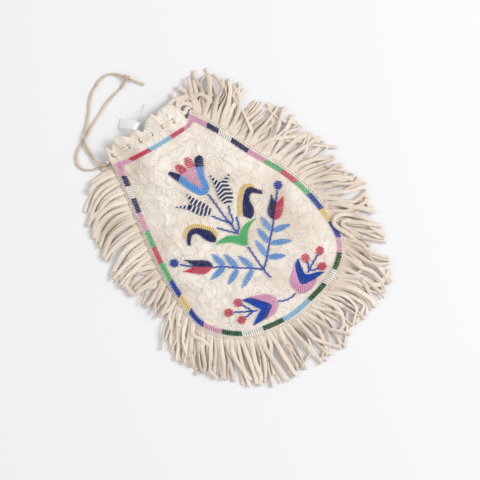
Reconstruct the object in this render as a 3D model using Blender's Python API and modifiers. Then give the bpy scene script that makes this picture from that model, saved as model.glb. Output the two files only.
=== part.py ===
"""A beaded hide pouch that lies on its back, with its mouth towards +Y.

The pouch is a front and a back panel of tanned hide with a cut fringe sewn into the seam between
them. The front panel carries a lane of bead rows round its edge and a flower spray inside it, and
ends in a scalloped collar with slits for a hide drawstring. Lengths are in metres.
"""

import math
import random

import bmesh
import bpy
from mathutils import Vector
from mathutils.bvhtree import BVHTree

# Panels
PANEL_WIDTH = 0.172  # across the bead lane where it is widest
PANEL_LENGTH = 0.228  # along the bead lane, from the bottom to the mouth
HIDE = 0.0012  # thickness of the tanned hide
GAP = 0.0003  # air between pieces that touch
SEAM_MARGIN = 0.0045  # from the bead lane out to the sewn edge
PUFF = 0.005  # how far the front panel rises over its seam
PUFF_RAMP = 0.032  # how far inside the seam it takes to rise
MOUTH_LIFT = 0.0015  # how far the mouth end lies off the table
LIFT_RUN = 0.045  # length over which the mouth end lifts
MOUTH_FLARE = 0.0022  # how far the collar of the front panel opens further
RUFFLE = 0.0015  # depth of the collar's waves
FOLD_HEIGHT = 0.0011  # height of the soft folds in the front panel
FOLD_WIDTH = 0.009

# Beadwork
BEAD_HEIGHT = 0.0016  # top of a bead row over the hide
BEAD_VALLEY = 0.0009  # the groove between two rows
STEM_HEIGHT = 0.0013
BEAD_GAP = 0.0004  # from the hide to the flat underside of a bead row
BLOCK_GAP = 0.0003  # between two blocks of the lane
LANE_WIDTH = 0.0052
TOP_LANE_WIDTH = 0.0043
RIB_PITCH = 0.0040  # one modelled rib stands for a few rows of seed beads
STEM_WIDTH = 0.0017
LEAF_WIDTH = 0.0062
JOINT_WIDTH = 0.0024  # where a leaf or a side stem meets its stem
TIP_HALF = 0.0004  # half the width at the end of a petal's tip
BERRY_STEPS = 4

# Fringe
THONG_PITCH = 0.0060
THONG_WIDTH = 0.0046
THONG_TIP_WIDTH = 0.0034
THONG_LENGTH = 0.049
THONG_SPREAD = 0.006  # how much longer or shorter a thong may be
BAND_INSIDE = 0.004  # how far the uncut band reaches into the seam
BAND_OUTSIDE = 0.0015

# Drawstring
LACE_WIDTH = 0.0030
LACE_THICKNESS = 0.0008
LACE_STEP = 0.0058  # how often its height follows the collar
SLIT_WIDTH = 0.0022
SLIT_LENGTH = 0.0046
STRAND_DIAMETER = 0.0020
KNOT_WIRE = 0.0016  # thickness of the turn that makes the knot

# Tag
TAG_THICKNESS = 0.0004
THREAD_DIAMETER = 0.0005

# The pattern was drawn on a sheet of this many squares, each about 1 mm
GRID_ACROSS = 172
GRID_ALONG = 228

COLOURS = {
    "hide": (0.79, 0.70, 0.58),
    "pink": (0.68, 0.27, 0.48),
    "navy": (0.012, 0.018, 0.10),
    "royal": (0.010, 0.055, 0.38),
    "blue": (0.08, 0.29, 0.72),
    "light_blue": (0.21, 0.53, 0.85),
    "white": (0.88, 0.88, 0.86),
    "red": (0.53, 0.03, 0.08),
    "green": (0.05, 0.35, 0.09),
    "dark_green": (0.008, 0.09, 0.04),
    "yellow": (0.74, 0.50, 0.10),
    "paper": (0.90, 0.90, 0.88),
    "thread": (0.30, 0.55, 0.65),
}

# Outer edge of the bead lane in squares, from the mouth's left corner round the bottom to its right corner
LANE_EDGE = (
    (-52.2, 116.7), (-61.4, 80.4), (-70.6, 46.0), (-79.6, 8.0), (-84.2, -32.0), (-82.6, -65.9),
    (-56.1, -97.4), (-14.6, -111.5), (18.6, -111.8), (58.7, -102.3), (82.6, -77.7), (86.0, -32.0),
    (79.0, 7.0), (63.2, 47.4), (51.7, 80.8), (37.9, 110.2),
)
# The same edge along the mouth, from the right corner back to the left one
MOUTH_EDGE = (
    (37.9, 110.2), (30.6, 105.0), (23.8, 104.5), (7.1, 105.6), (-16.1, 108.3), (-38.1, 112.5), (-52.2, 116.7),
)
LOWER_LEFT = 0.305  # where the left side turns into the bottom, as a share of the seam
LOWER_RIGHT = 0.655

# Blocks of the lane: colour and length in squares, from the top of the left corner block
BLOCKS = (
    ("pink", 27.3), ("navy", 11.6), ("white", 13.3), ("navy", 17.6), ("pink", 19.7), ("green", 17.2),
    ("red", 18.2), ("green", 20.1), ("royal", 18.8), ("yellow", 18.0), ("royal", 19.3), ("pink", 21.7),
    ("dark_green", 20.0), ("white", 21.4), ("dark_green", 22.8), ("light_blue", 33.2), ("dark_green", 24.0),
    ("white", 17.4), ("dark_green", 17.1), ("pink", 17.5), ("royal", 16.0), ("yellow", 17.2),
    ("royal", 19.6), ("green", 18.7), ("red", 18.0), ("green", 18.9), ("pink", 20.8), ("navy", 19.6),
    ("white", 15.8), ("navy", 13.6), ("pink", 34.5), ("red", 16.7), ("light_blue", 23.4), ("red", 22.4),
)
CORNER_BLOCK_TOP = 14.7  # how much of the first block lies along the mouth

# Collar over the mouth's lane: share of the way across and height, two shoulders to each scallop
COLLAR = (
    (0.0, 7.0), (0.057, 19.0), (0.092, 14.0), (0.138, 20.0), (0.213, 26.0), (0.27, 23.0), (0.32, 19.0),
    (0.371, 22.5), (0.416, 23.0), (0.459, 16.5), (0.503, 22.0), (0.547, 26.0), (0.621, 29.0),
    (0.66, 24.0), (0.702, 28.0), (0.806, 27.0), (0.857, 24.0), (0.885, 3.0), (0.938, 2.5), (1.0, 2.0),
)
BACK_COLLAR = ((0.0, 7.0), (0.12, 13.0), (0.3, 15.0), (0.5, 15.0), (0.7, 18.0), (0.857, 17.0), (0.9, 3.0), (1.0, 2.0))

# Soft folds of the front panel, each from one end of its ridge to the other
FOLDS = (
    ((31.0, 95.0), (28.0, 62.0)),
    ((-18.0, 104.0), (-31.0, 66.0)),
    ((-62.0, 78.0), (-34.0, 50.0)),
    ((60.0, 20.0), (42.0, 44.0)),
    ((-60.0, -48.0), (-40.0, -74.0)),
)

# Slits of the front collar, two to each stretch of lace that shows
SLITS = ((-49.0, 124.4), (-31.7, 121.6), (-18.8, 119.5), (-5.6, 117.6), (7.0, 116.6), (19.1, 115.2))
LACE_EXIT = (-59.5, 122.5)
LACE_TURN = (26.0, 114.6)

# How the thongs lie: share of the seam from the left corner, and direction in degrees from +X
COMB = (
    (0.0, 202.0), (0.07, 192.0), (0.14, 181.0), (0.22, 177.0), (0.30, 174.0), (0.36, 188.0), (0.42, 220.0),
    (0.48, 244.0), (0.56, 255.0), (0.62, 268.0), (0.68, 288.0), (0.74, 302.0), (0.80, 318.0),
    (0.86, 335.0), (0.92, 356.0), (0.97, 376.0), (1.0, 392.0),
)

# Free ends of the drawstring, in squares with the height in millimetres
LONG_STRAND = (
    (-60.3, 122.4, 6.0), (-62.4, 122.9, 5.7), (-64.6, 125.6, 4.9), (-66.4, 131.2, 3.5), (-66.9, 138.0, 2.5),
    (-65.6, 146.4, 2.7), (-63.4, 153.2, 3.7), (-61.3, 156.6, 3.9), (-58.8, 160.0, 3.4), (-52.6, 165.0, 1.4),
    (-44.4, 172.5, 1.1), (-37.2, 180.5, 1.1), (-27.4, 188.4, 1.1), (-15.9, 193.1, 1.1), (-4.1, 193.2, 1.1),
    (3.2, 187.6, 2.4), (7.2, 181.4, 3.5), (10.6, 176.2, 3.5), (14.8, 169.6, 2.2), (18.6, 163.0, 1.1),
)
SHORT_STRAND = (
    (-60.3, 122.4, 3.2), (-64.4, 122.9, 2.2), (-70.5, 125.0, 1.1), (-77.6, 128.4, 1.1), (-82.4, 133.8, 1.1),
    (-82.8, 141.2, 1.1), (-77.6, 148.4, 1.1), (-69.6, 153.4, 1.1), (-61.8, 156.4, 1.1), (-54.2, 159.0, 1.1),
    (-46.0, 162.6, 1.1), (-33.4, 167.3, 1.1), (-20.8, 171.4, 1.1), (-8.0, 173.6, 1.2), (0.0, 174.8, 2.0),
    (5.4, 176.9, 3.0),
)
KNOT_START = (7.8, 180.5, 3.5)
KNOT_END = (10.0, 177.1, 3.5)
KNOT_TURNS = 2

# Tag: its two long edges, from the collar outwards
TAG_LEFT = ((-15.6, 129.8), (-28.4, 144.0))
TAG_RIGHT = ((-6.4, 133.2), (-20.4, 150.8))
# Thread: each point with its share of the collar's height, 1 where it lies on the collar or the tag
THREAD = (
    (-5.9, 121.2, 1.0), (-5.6, 125.0, 1.0), (-6.0, 128.6, 1.0), (-7.2, 131.4, 1.0), (-8.4, 134.2, 1.0),
    (-6.0, 136.2, 1.0), (-1.6, 140.2, 0.62), (2.4, 143.4, 0.2), (6.3, 147.2, 0.0),
)

# Flower spray, in squares. The big flower: the outer V, then the petals inside it
OUTER_PETALS = (
    ((-17.0, 76.7), (-14.6, 67.0), (-6.8, 44.3), (-1.8, 38.1), (3.4, 37.3), (8.0, 40.6), (10.6, 51.1), (16.2, 60.4),
     (20.9, 68.3), (19.3, 72.0)),
    ((-13.5, 76.9), (-8.0, 69.0), (-3.9, 55.5), (-0.6, 47.2), (1.0, 43.1), (3.7, 47.8), (8.3, 62.6), (11.9, 70.4),
     (16.0, 72.6)),
)
# Each of these is a left side, a centre line, a right side and the two tips
INNER_PETALS = (
    ((0.3, 47.2), (-3.2, 56.5), (-6.0, 66.5), (-7.6, 71.5)),
    ((1.4, 47.2), (1.3, 57.5), (1.3, 72.4)),
    ((2.6, 47.2), (5.0, 57.0), (7.4, 65.5), (9.6, 71.2)),
    ((-5.2, 79.6), (7.6, 79.4)),
)
BELL_LEFT = (
    ((-9.0, 18.4), (-16.4, 23.8), (-22.6, 36.1)),
    ((-6.4, 20.3), (-11.8, 29.5), (-17.3, 38.5)),
    ((-3.6, 22.5), (-5.6, 31.0), (-10.4, 41.0)),
    ((-30.6, 45.4), (-14.2, 49.2)),
)
BELL_RIGHT = (
    ((9.7, 18.6), (9.2, 27.2), (12.0, 34.7)),
    ((13.2, 17.4), (16.5, 27.4), (19.8, 37.6)),
    ((15.9, 15.3), (21.6, 19.6), (25.0, 33.4)),
    ((15.8, 49.6), (32.8, 39.8)),
)
# Each of these is an outer, a shared and an inner curve, and the tip of the inner band
CURL_LEFT = (
    ((-13.2, -3.0), (-13.5, 5.5), (-18.5, 13.5), (-24.0, 19.4), (-31.0, 22.8), (-38.1, 21.4), (-43.2, 16.6)),
    ((-17.6, -4.2), (-17.6, 4.2), (-21.8, 11.0), (-26.5, 15.9), (-31.8, 18.6), (-37.3, 17.4), (-41.2, 13.9)),
    ((-23.4, -3.6), (-27.4, 3.0), (-28.5, 8.0), (-30.6, 12.0), (-34.0, 13.2), (-37.4, 11.6), (-39.6, 9.5)),
    (-42.6, 6.2),
)
CURL_RIGHT = (
    ((13.2, 0.5), (17.6, 8.0), (24.0, 14.6), (30.5, 19.8), (36.5, 21.9), (41.5, 20.2), (44.8, 15.4)),
    ((17.0, -2.5), (21.6, 4.8), (27.2, 11.0), (32.4, 15.6), (36.9, 17.3), (40.6, 16.0), (43.2, 12.6)),
    ((25.2, -8.6), (30.6, -2.6), (31.2, 3.6), (33.0, 8.4), (36.6, 10.6), (39.6, 9.6), (41.2, 7.4)),
    (46.8, 4.2),
)
CALYX = (
    ((-21.4, -9.2), (-12.5, -13.2), (-6.4, -17.8), (-2.0, -24.0), (2.3, -28.4), (6.4, -23.8), (11.0, -18.4),
     (18.0, -14.2), (25.3, -12.6)),
    ((-21.0, -8.0), (-14.2, -7.4), (-8.0, -8.4), (-2.6, -11.6), (2.2, -15.6), (6.8, -12.6), (11.6, -10.6),
     (18.3, -10.3), (25.0, -11.4)),
)
# Each bud is a left side, a centre line, a right side, two tips, the stamen and its spot
BUD_LEFT = (
    ((-39.0, -24.8), (-46.5, -25.6), (-52.0, -22.8), (-56.8, -18.0)),
    ((-37.9, -24.0), (-45.0, -18.6), (-52.0, -13.0)),
    ((-36.8, -23.0), (-37.1, -17.9), (-41.2, -12.8), (-47.2, -8.4)),
    ((-63.8, -10.0), (-56.1, -1.1)),
    ((-52.0, -13.0), (-58.0, -7.2), (-62.4, -2.2)),
    (-66.0, 2.2),
)
BUD_RIGHT = (
    ((38.6, -22.6), (37.4, -17.9), (39.7, -12.5), (45.4, -8.4)),
    ((39.7, -23.3), (45.1, -18.1), (50.5, -12.5)),
    ((40.7, -24.2), (44.2, -26.4), (50.2, -23.9), (56.0, -18.6)),
    ((52.6, -2.6), (61.6, -10.9)),
    ((50.5, -12.5), (55.0, -7.6), (60.2, -2.4)),
    (63.7, 0.9),
)
# Each hanging flower is an outer, a shared and an inner curve, and the outer band's ends on the shared one
HANGING_LEFT = (
    ((-26.4, -70.6), (-17.7, -74.6), (-10.6, -79.2), (-6.5, -86.5), (-8.0, -94.2), (-15.0, -98.4), (-27.0, -99.2)),
    ((-34.8, -67.8), (-27.0, -71.2), (-20.7, -79.2), (-14.4, -89.4), (-19.2, -93.2), (-27.0, -96.9), (-41.0, -95.8)),
    ((-34.4, -69.0), (-31.4, -74.8), (-29.0, -80.4), (-25.6, -86.8), (-29.8, -88.8), (-34.6, -91.2), (-40.8, -94.8)),
    ((-27.0, -71.2), (-27.0, -96.9)),
)
HANGING_RIGHT = (
    ((26.1, -74.5), (20.6, -78.1), (15.3, -82.4), (12.6, -87.3), (13.2, -93.3), (15.1, -98.9), (21.4, -101.7),
     (30.1, -101.2), (38.6, -97.7)),
    ((34.5, -68.9), (27.6, -73.1), (24.4, -80.0), (21.4, -88.1), (22.6, -92.4), (28.0, -94.2), (36.6, -95.8),
     (47.0, -96.3)),
    ((34.6, -70.2), (33.7, -73.5), (31.2, -82.8), (31.8, -86.7), (34.5, -88.9), (42.5, -92.0), (47.0, -95.2)),
    ((27.6, -73.1), (36.6, -95.8)),
)
LINK = ((-7.2, -90.6), (-2.4, -94.0), (5.6, -96.2), (12.0, -95.4))
BERRY_RADIUS = 0.0043
# The lines that hold the flowers: the main one, then the points of each shoot
UPPER_STEM = ((2.6, 36.4), (2.6, 22.5), (2.1, 10.5), (2.4, -0.5), (2.2, -14.2))
UPPER_SHOOTS = (
    ((2.3, 0.5), (-3.9, 10.2), (-7.5, 16.8)),
    ((2.3, -2.9), (7.3, 1.6), (8.5, 7.5), (12.0, 14.8)),
    ((2.2, -11.8), (-0.8, -9.2), (-10.6, 4.0)),
    ((2.2, -11.8), (5.8, -10.4), (9.5, -4.1), (11.4, 1.2)),
)
LOWER_STEM = ((2.3, -29.6), (0.9, -57.4), (1.8, -68.2))
LEFT_BRANCH = ((0.9, -57.4), (-6.4, -49.9), (-18.9, -39.8), (-29.7, -30.0), (-36.0, -25.0))
RIGHT_BRANCH = ((0.9, -57.4), (11.5, -49.2), (22.3, -39.0), (31.8, -31.0), (37.6, -25.2))
# A leaf is the foot on its branch and its tip
LEFT_LEAVES = (
    ((-6.0, -50.0), (-10.7, -31.1)), ((-6.0, -50.0), (-27.1, -58.6)), ((-18.1, -40.6), (-21.1, -21.2)),
    ((-18.1, -40.6), (-36.1, -47.8)), ((-27.6, -31.7), (-30.5, -13.5)), ((-27.6, -31.7), (-46.6, -33.1)),
)
RIGHT_LEAVES = (
    ((11.5, -49.8), (12.5, -29.1)), ((11.5, -49.8), (27.1, -59.6)), ((21.5, -40.0), (21.0, -21.1)),
    ((21.5, -40.0), (40.8, -51.3)), ((30.7, -32.2), (30.9, -13.9)), ((30.7, -32.2), (49.4, -37.6)),
)
# A cluster is its main line, which ends in a berry, and then two shoots that do the same
CLUSTER_LEFT = (
    ((-28.6, -85.9), (-34.1, -82.7), (-48.6, -72.8)), (-52.8, -70.1),
    (((-32.6, -83.7), (-35.0, -78.0), (-37.8, -71.6)), (-39.3, -67.9)),
    (((-32.6, -83.7), (-37.0, -84.2), (-42.8, -83.9)), (-46.9, -83.8)),
)
CLUSTER_RIGHT = (
    ((34.3, -86.3), (38.9, -84.0), (52.8, -78.2)), (56.8, -76.4),
    (((36.6, -85.2), (38.4, -81.6), (40.0, -77.4)), (40.9, -73.5)),
    (((36.6, -85.2), (39.6, -87.8), (45.2, -89.6)), (49.2, -90.2)),
)


def spot(point):
    """A point of the pattern sheet, in metres."""
    return Vector((point[0] * PANEL_WIDTH / GRID_ACROSS, point[1] * PANEL_LENGTH / GRID_ALONG, 0.0))


def spots(points):
    return [spot(point) for point in points]


def route(points):
    """A cord's points, whose height is given in millimetres."""
    return [spot(point) + Vector((0.0, 0.0, point[2] * 0.001)) for point in points]


def smooth_step(value):
    value = min(max(value, 0.0), 1.0)
    return value * value * (3.0 - 2.0 * value)


def smooth_curve(points, spans=8):
    """A Catmull-Rom curve through the points."""
    ends = [2.0 * points[0] - points[1]] + list(points) + [2.0 * points[-1] - points[-2]]
    curve = []
    for before, start, end, after in zip(ends, ends[1:], ends[2:], ends[3:]):
        for step in range(spans):
            t = step / spans
            curve.append(0.5 * (
                2.0 * start + (end - before) * t
                + (2.0 * before - 5.0 * start + 4.0 * end - after) * t ** 2
                + (3.0 * start - before - 3.0 * end + after) * t ** 3
            ))
    curve.append(points[-1].copy())
    return curve


def distances(curve):
    """How far along the curve each of its points is."""
    along = [0.0]
    for start, end in zip(curve, curve[1:]):
        along.append(along[-1] + (end - start).length)
    return along


def point_at(curve, along, distance):
    distance = min(max(distance, 0.0), along[-1])
    for index in range(1, len(along)):
        if along[index] >= distance:
            span = along[index] - along[index - 1]
            share = (distance - along[index - 1]) / span if span > 0.0 else 0.0
            return curve[index - 1].lerp(curve[index], share)
    return curve[-1].copy()


def between(curve, first, last, count):
    """Evenly spaced points of the curve from one distance to another."""
    along = distances(curve)
    return [point_at(curve, along, first + (last - first) * step / (count - 1)) for step in range(count)]


def resample(curve, count):
    return between(curve, 0.0, distances(curve)[-1], count)


def interpolate(table, value):
    """The second column of the table at a value of its first."""
    for (low, before), (high, after) in zip(table, table[1:]):
        if value <= high:
            return before + (after - before) * max(value - low, 0.0) / (high - low)
    return table[-1][1]


def outward(curve, index):
    """The unit normal on the right of the curve's direction."""
    ahead = curve[min(index + 1, len(curve) - 1)]
    behind = curve[max(index - 1, 0)]
    direction = (ahead - behind).normalized()
    return Vector((direction.y, -direction.x, 0.0))


def offset(curve, amount):
    return [point + outward(curve, index) * amount for index, point in enumerate(curve)]


def seam_curve():
    return resample(offset(smooth_curve(spots(LANE_EDGE)), SEAM_MARGIN), 160)


def distance_to(curve, point):
    """Distance in plan from a point to a curve."""
    flat = Vector((point.x, point.y, 0.0))
    least = math.inf
    for start, end in zip(curve, curve[1:]):
        side = end - start
        share = min(max((flat - start).dot(side) / side.length_squared, 0.0), 1.0)
        least = min(least, (flat - start - side * share).length)
    return least


def mouth_y():
    """Where the lift of the mouth end is complete."""
    return spot((0.0, 104.0)).y


def lift(y):
    return MOUTH_LIFT * smooth_step((y - mouth_y() + LIFT_RUN) / LIFT_RUN)


def fold_height(point):
    """The soft folds of the front panel."""
    height = 0.0
    for ends in FOLDS:
        height = max(height, math.exp(-((distance_to(spots(ends), point) / FOLD_WIDTH) ** 2)))
    return FOLD_HEIGHT * height


def back_height(point, seam):
    """Underside of the back panel."""
    return lift(point.y)


def front_height(point, seam):
    """Underside of the front panel, clear of the back panel and the band of the fringe."""
    edge = distance_to(seam, point)
    rise = smooth_step(edge / PUFF_RAMP)
    over = point.y - mouth_y()
    flare = MOUTH_FLARE * smooth_step(over / 0.012)
    wave = RUFFLE * math.sin(point.x * 2.0 * math.pi / 0.018) * smooth_step((over - 0.016) / 0.010)
    base = 2.0 * HIDE + 2.0 * GAP + lift(point.y)
    return base + PUFF * rise + fold_height(point) * rise + flare + wave


def material(colour):
    """One finish for each colour of hide, bead, paper and thread."""
    found = bpy.data.materials.get(colour)
    if found:
        return found
    made = bpy.data.materials.new(colour)
    made.use_nodes = True
    shader = made.node_tree.nodes["Principled BSDF"]
    shader.inputs["Base Color"].default_value = (*COLOURS[colour], 1.0)
    rough = {"hide": 0.9, "paper": 0.8, "thread": 0.8}
    shader.inputs["Roughness"].default_value = rough.get(colour, 0.25)
    return made


def add_object(name, data, collection, colours):
    made = bpy.data.objects.new(name, data)
    for colour in colours:
        data.materials.append(material(colour))
    collection.objects.link(made)
    return made


def mesh_of(name, bm):
    bmesh.ops.recalc_face_normals(bm, faces=bm.faces[:])
    mesh = bpy.data.meshes.new(name)
    bm.to_mesh(mesh)
    bm.free()
    return mesh


def thicken(made, thickness):
    """Gives an open surface its thickness, upwards."""
    modifier = made.modifiers.new("thickness", "SOLIDIFY")
    modifier.thickness = thickness
    modifier.offset = 1.0


def panel_grid(seam, columns, rows):
    """Rows of points over the panel, from its bottom to its mouth, blended from its four edges."""
    along = distances(seam)
    total = along[-1]
    left = between(seam, total * LOWER_LEFT, 0.0, rows)
    right = between(seam, total * LOWER_RIGHT, total, rows)
    bottom = smooth_curve(between(seam, total * LOWER_LEFT, total * LOWER_RIGHT, 40), 1)
    mouth = smooth_curve([seam[0]] + spots(MOUTH_EDGE)[-2:0:-1] + [seam[-1]])
    bottom_along, mouth_along = distances(bottom), distances(mouth)
    grid = []
    for row in range(rows):
        v = row / (rows - 1)
        line = []
        for u in columns:
            low = point_at(bottom, bottom_along, u * bottom_along[-1])
            high = point_at(mouth, mouth_along, u * mouth_along[-1])
            across = left[row].lerp(right[row], u)
            corners = left[0].lerp(right[0], u).lerp(left[-1].lerp(right[-1], u), v)
            line.append(low.lerp(high, v) + across - corners)
        grid.append(line)
    return grid


def collar_rows(mouth_row, collar, rows):
    """Rows of points over the mouth, up to the collar's scalloped edge."""
    return [
        [
            point + Vector((0.0, spot((0.0, height)).y * (step + 1) / rows, 0.0))
            for point, (_, height) in zip(mouth_row, collar)
        ]
        for step in range(rows)
    ]


def add_panel(name, seam, collar, rows, height, collection):
    grid = panel_grid(seam, [share for share, _ in collar], rows)
    grid += collar_rows(grid[-1], collar, 3)
    bm = bmesh.new()
    vertices = [[bm.verts.new((p.x, p.y, height(p, seam))) for p in line] for line in grid]
    for low, high in zip(vertices, vertices[1:]):
        for index in range(len(low) - 1):
            bm.faces.new((low[index], low[index + 1], high[index + 1], high[index]))
    mesh = bpy.data.meshes.new(name)
    bm.to_mesh(mesh)
    bm.free()
    made = add_object(name, mesh, collection, ["hide"])
    thicken(made, HIDE)
    return made


def lace_plan():
    """The drawstring's line in plan, and how far along it each slit is."""
    points = [spot(LACE_EXIT)] + spots(SLITS) + [spot(LACE_TURN)]
    return points, distances(points)


def add_slit_cutter(collection):
    """One upright box through both collars at each slit."""
    bm = bmesh.new()
    points, _ = lace_plan()
    for index in range(1, len(points) - 1):
        direction = (points[index + 1] - points[index - 1]).normalized()
        turn = math.atan2(direction.y, direction.x)
        box = bmesh.ops.create_cube(bm, size=1.0)["verts"]
        bmesh.ops.scale(bm, verts=box, vec=(SLIT_WIDTH, SLIT_LENGTH, 0.06))
        for vertex in box:
            x, y = vertex.co.x, vertex.co.y
            vertex.co.x = x * math.cos(turn) - y * math.sin(turn) + points[index].x
            vertex.co.y = x * math.sin(turn) + y * math.cos(turn) + points[index].y
    cutter = add_object("slit_cutter", mesh_of("slit_cutter", bm), collection, [])
    cutter.hide_render = True
    cutter.display_type = "WIRE"
    return cutter


def cut_slits(panel, cutter):
    modifier = panel.modifiers.new("slits", "BOOLEAN")
    modifier.operation = "DIFFERENCE"
    modifier.object = cutter


def surface_of(made):
    """A ray target of the object as it is after its modifiers."""
    bpy.context.view_layer.update()
    return BVHTree.FromObject(made, bpy.context.evaluated_depsgraph_get())


def top_of(tree, point):
    hit = tree.ray_cast(Vector((point.x, point.y, 1.0)), Vector((0.0, 0.0, -1.0)))[0]
    return hit.z if hit else None


def under_of(tree, point):
    hit = tree.ray_cast(Vector((point.x, point.y, -1.0)), Vector((0.0, 0.0, 1.0)))[0]
    return hit.z if hit else None


def add_fringe(seam, collection):
    """One strip of hide: a band in the seam, cut into thongs outside it."""
    draw = random.Random(7)
    along = distances(seam)
    total = along[-1]
    inner = offset(seam, -BAND_INSIDE)
    outer = offset(seam, BAND_OUTSIDE)
    count = int(total / THONG_PITCH)
    pitch = total / count
    root = THONG_WIDTH * pitch / THONG_PITCH
    edge = 0.5 * (pitch - root)
    base = HIDE + GAP
    bm = bmesh.new()

    def corner(curve, distance):
        point = point_at(curve, along, distance)
        return bm.verts.new((point.x, point.y, base + lift(point.y)))

    inside = [corner(inner, 2.0 * pitch * step) for step in range(count // 2 + 1)]
    if count % 2:
        inside.append(corner(inner, total))
    roots = []
    for index in range(count):
        start = index * pitch + edge
        roots.append((corner(outer, start), corner(outer, start + root)))
    for index in range(0, count, 2):
        ring = [inside[index // 2 + 1], inside[index // 2]]
        for pair in roots[index:index + 2]:
            ring += pair
        if index == 0:
            ring.insert(2, corner(outer, 0.0))
        if index + 2 < count:
            ring.append(roots[index + 2][0])
        else:
            ring.append(corner(outer, total))
        bm.faces.new(ring)
    for index, (first, second) in enumerate(roots):
        middle = (index + 0.5) * pitch
        add_thong(bm, draw, first, second, middle / total, pitch, index)
    made = add_object("fringe", mesh_of("fringe", bm), collection, ["hide"])
    thicken(made, HIDE)
    return made


def add_thong(bm, draw, first, second, share, pitch, index):
    """A tapering thong that falls from the band to the table, combed as its neighbours are."""
    angle = math.radians(interpolate(COMB, share) + draw.uniform(-2.5, 2.5))
    bend = math.radians(9.0) * math.sin(23.0 * share) + draw.uniform(-0.04, 0.04)
    length = THONG_LENGTH + draw.uniform(-THONG_SPREAD, THONG_SPREAD)
    root = second.co - first.co
    facing = abs(root.normalized().cross(Vector((math.cos(angle), math.sin(angle), 0.0))).z)
    width = min(THONG_WIDTH, root.length * facing)
    point = 0.5 * (first.co + second.co)
    height = point.z
    crown = 0.0012 if index % 2 else 0.0
    previous, reached = (first, second), 0.0
    for share_out, drop in ((0.35, 0.25), (1.0, 0.0)):
        angle += bend * (share_out - reached)
        direction = Vector((math.cos(angle), math.sin(angle), 0.0))
        point = point + direction * length * (share_out - reached)
        point.z = 0.0001 + (height - 0.0001) * drop + crown * math.sin(math.pi * share_out)
        taper = width + (min(THONG_TIP_WIDTH, width) - width) * share_out
        side = Vector((-direction.y, direction.x, 0.0)) * 0.5 * taper
        pair = (bm.verts.new(point - side), bm.verts.new(point + side))
        bm.faces.new((previous[0], previous[1], pair[1], pair[0]))
        previous, reached = pair, share_out


def bead_object(name, ladders, colours, skin, collection):
    """A closed bead patch from ladders of rungs that lie flat in plan.

    Each rung is (left, right, kind): kind 1 is the top of a bead row, 0 the groove beside it and
    2 a single line of beads. Rungs that share a point are welded, and the patch is laid on the hide.
    """
    bm = bmesh.new()
    kind_layer = bm.verts.layers.int.new("kind")
    for colour, rungs in ladders:
        previous = None
        for left, right, kind in rungs:
            pair = [bm.verts.new((p.x, p.y, 0.0)) for p in (left, right)]
            for vertex in pair:
                vertex[kind_layer] = kind
            if previous:
                face = bm.faces.new((previous[0], previous[1], pair[1], pair[0]))
                face.material_index = colours.index(colour)
            previous = pair
    bmesh.ops.remove_doubles(bm, verts=bm.verts[:], dist=0.00002)
    bmesh.ops.recalc_face_normals(bm, faces=bm.faces[:])
    ground = settle(bm, skin)
    raised = bmesh.ops.extrude_face_region(bm, geom=bm.faces[:])["geom"]
    tops = {element for element in raised if isinstance(element, bmesh.types.BMVert)}
    heights = {0: BEAD_VALLEY, 1: BEAD_HEIGHT, 2: STEM_HEIGHT}
    for vertex in bm.verts:
        vertex.co.z = vertex[ground] + BEAD_GAP
        if vertex in tops:
            vertex.co.z += heights[vertex[kind_layer]]
    spare = [
        edge for edge in bm.edges
        if all(vertex[kind_layer] == 1 for vertex in edge.verts)
        and not all(vertex in tops for vertex in edge.verts)
    ]
    bmesh.ops.dissolve_edges(bm, edges=spare, use_verts=True)
    add_object(name, mesh_of(name, bm), collection, colours)


def settle(bm, skin):
    """Height of the hide below each point, raised where the hide bulges between the points."""
    ground = bm.verts.layers.float.new("ground")
    extra = {}
    for vertex in bm.verts:
        vertex[ground] = top_of(skin, vertex.co)
        extra[vertex] = 0.0
    for face in bm.faces:
        groups = [list(edge.verts) for edge in face.edges] + [list(face.verts)]
        for group in groups:
            place = sum((vertex.co for vertex in group), Vector()) / len(group)
            floor = sum(vertex[ground] for vertex in group) / len(group)
            bulge = top_of(skin, place) - floor
            for vertex in face.verts:
                extra[vertex] = max(extra[vertex], bulge)
    for vertex, bulge in extra.items():
        vertex[ground] += bulge
    return ground


def rungs_between(left, right, kinds=(0, 1)):
    """Rungs across two sides of as many points, by turns groove and row."""
    return [(a, b, kinds[index % len(kinds)]) for index, (a, b) in enumerate(zip(left, right))]


def ribs_in(length):
    return max(1, round(length / RIB_PITCH))


def ladder(left, right):
    """Bead rows across a shape that is given by its two sides."""
    first, second = smooth_curve(spots(left)), smooth_curve(spots(right))
    length = 0.5 * (distances(first)[-1] + distances(second)[-1])
    count = 2 * ribs_in(length) + 1
    return rungs_between(resample(first, count), resample(second, count))


def corner_offset(before, after, width_before, width_after):
    """From a corner's outer point to its inner one, where two lanes of their own widths meet."""
    determinant = before.x * after.y - before.y * after.x
    return Vector((
        (width_before * after.y - width_after * before.y) / determinant,
        (width_after * before.x - width_before * after.x) / determinant,
        0.0,
    ))


def lane_legs():
    """The side and the mouth stretch of the lane, each as an outer and an inner edge."""
    side = smooth_curve(spots(LANE_EDGE))
    mouth = smooth_curve(spots(MOUTH_EDGE))
    inner_side, inner_mouth = offset(side, -LANE_WIDTH), offset(mouth, -TOP_LANE_WIDTH)
    left = corner_offset(-outward(mouth, len(mouth) - 1), -outward(side, 0), TOP_LANE_WIDTH, LANE_WIDTH)
    right = corner_offset(-outward(side, len(side) - 1), -outward(mouth, 0), LANE_WIDTH, TOP_LANE_WIDTH)
    inner_side = trimmed(inner_side, side[0] + left, side[-1] + right)
    inner_mouth = trimmed(inner_mouth, mouth[0] + right, mouth[-1] + left)
    return (side, inner_side), (mouth, inner_mouth)


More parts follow.
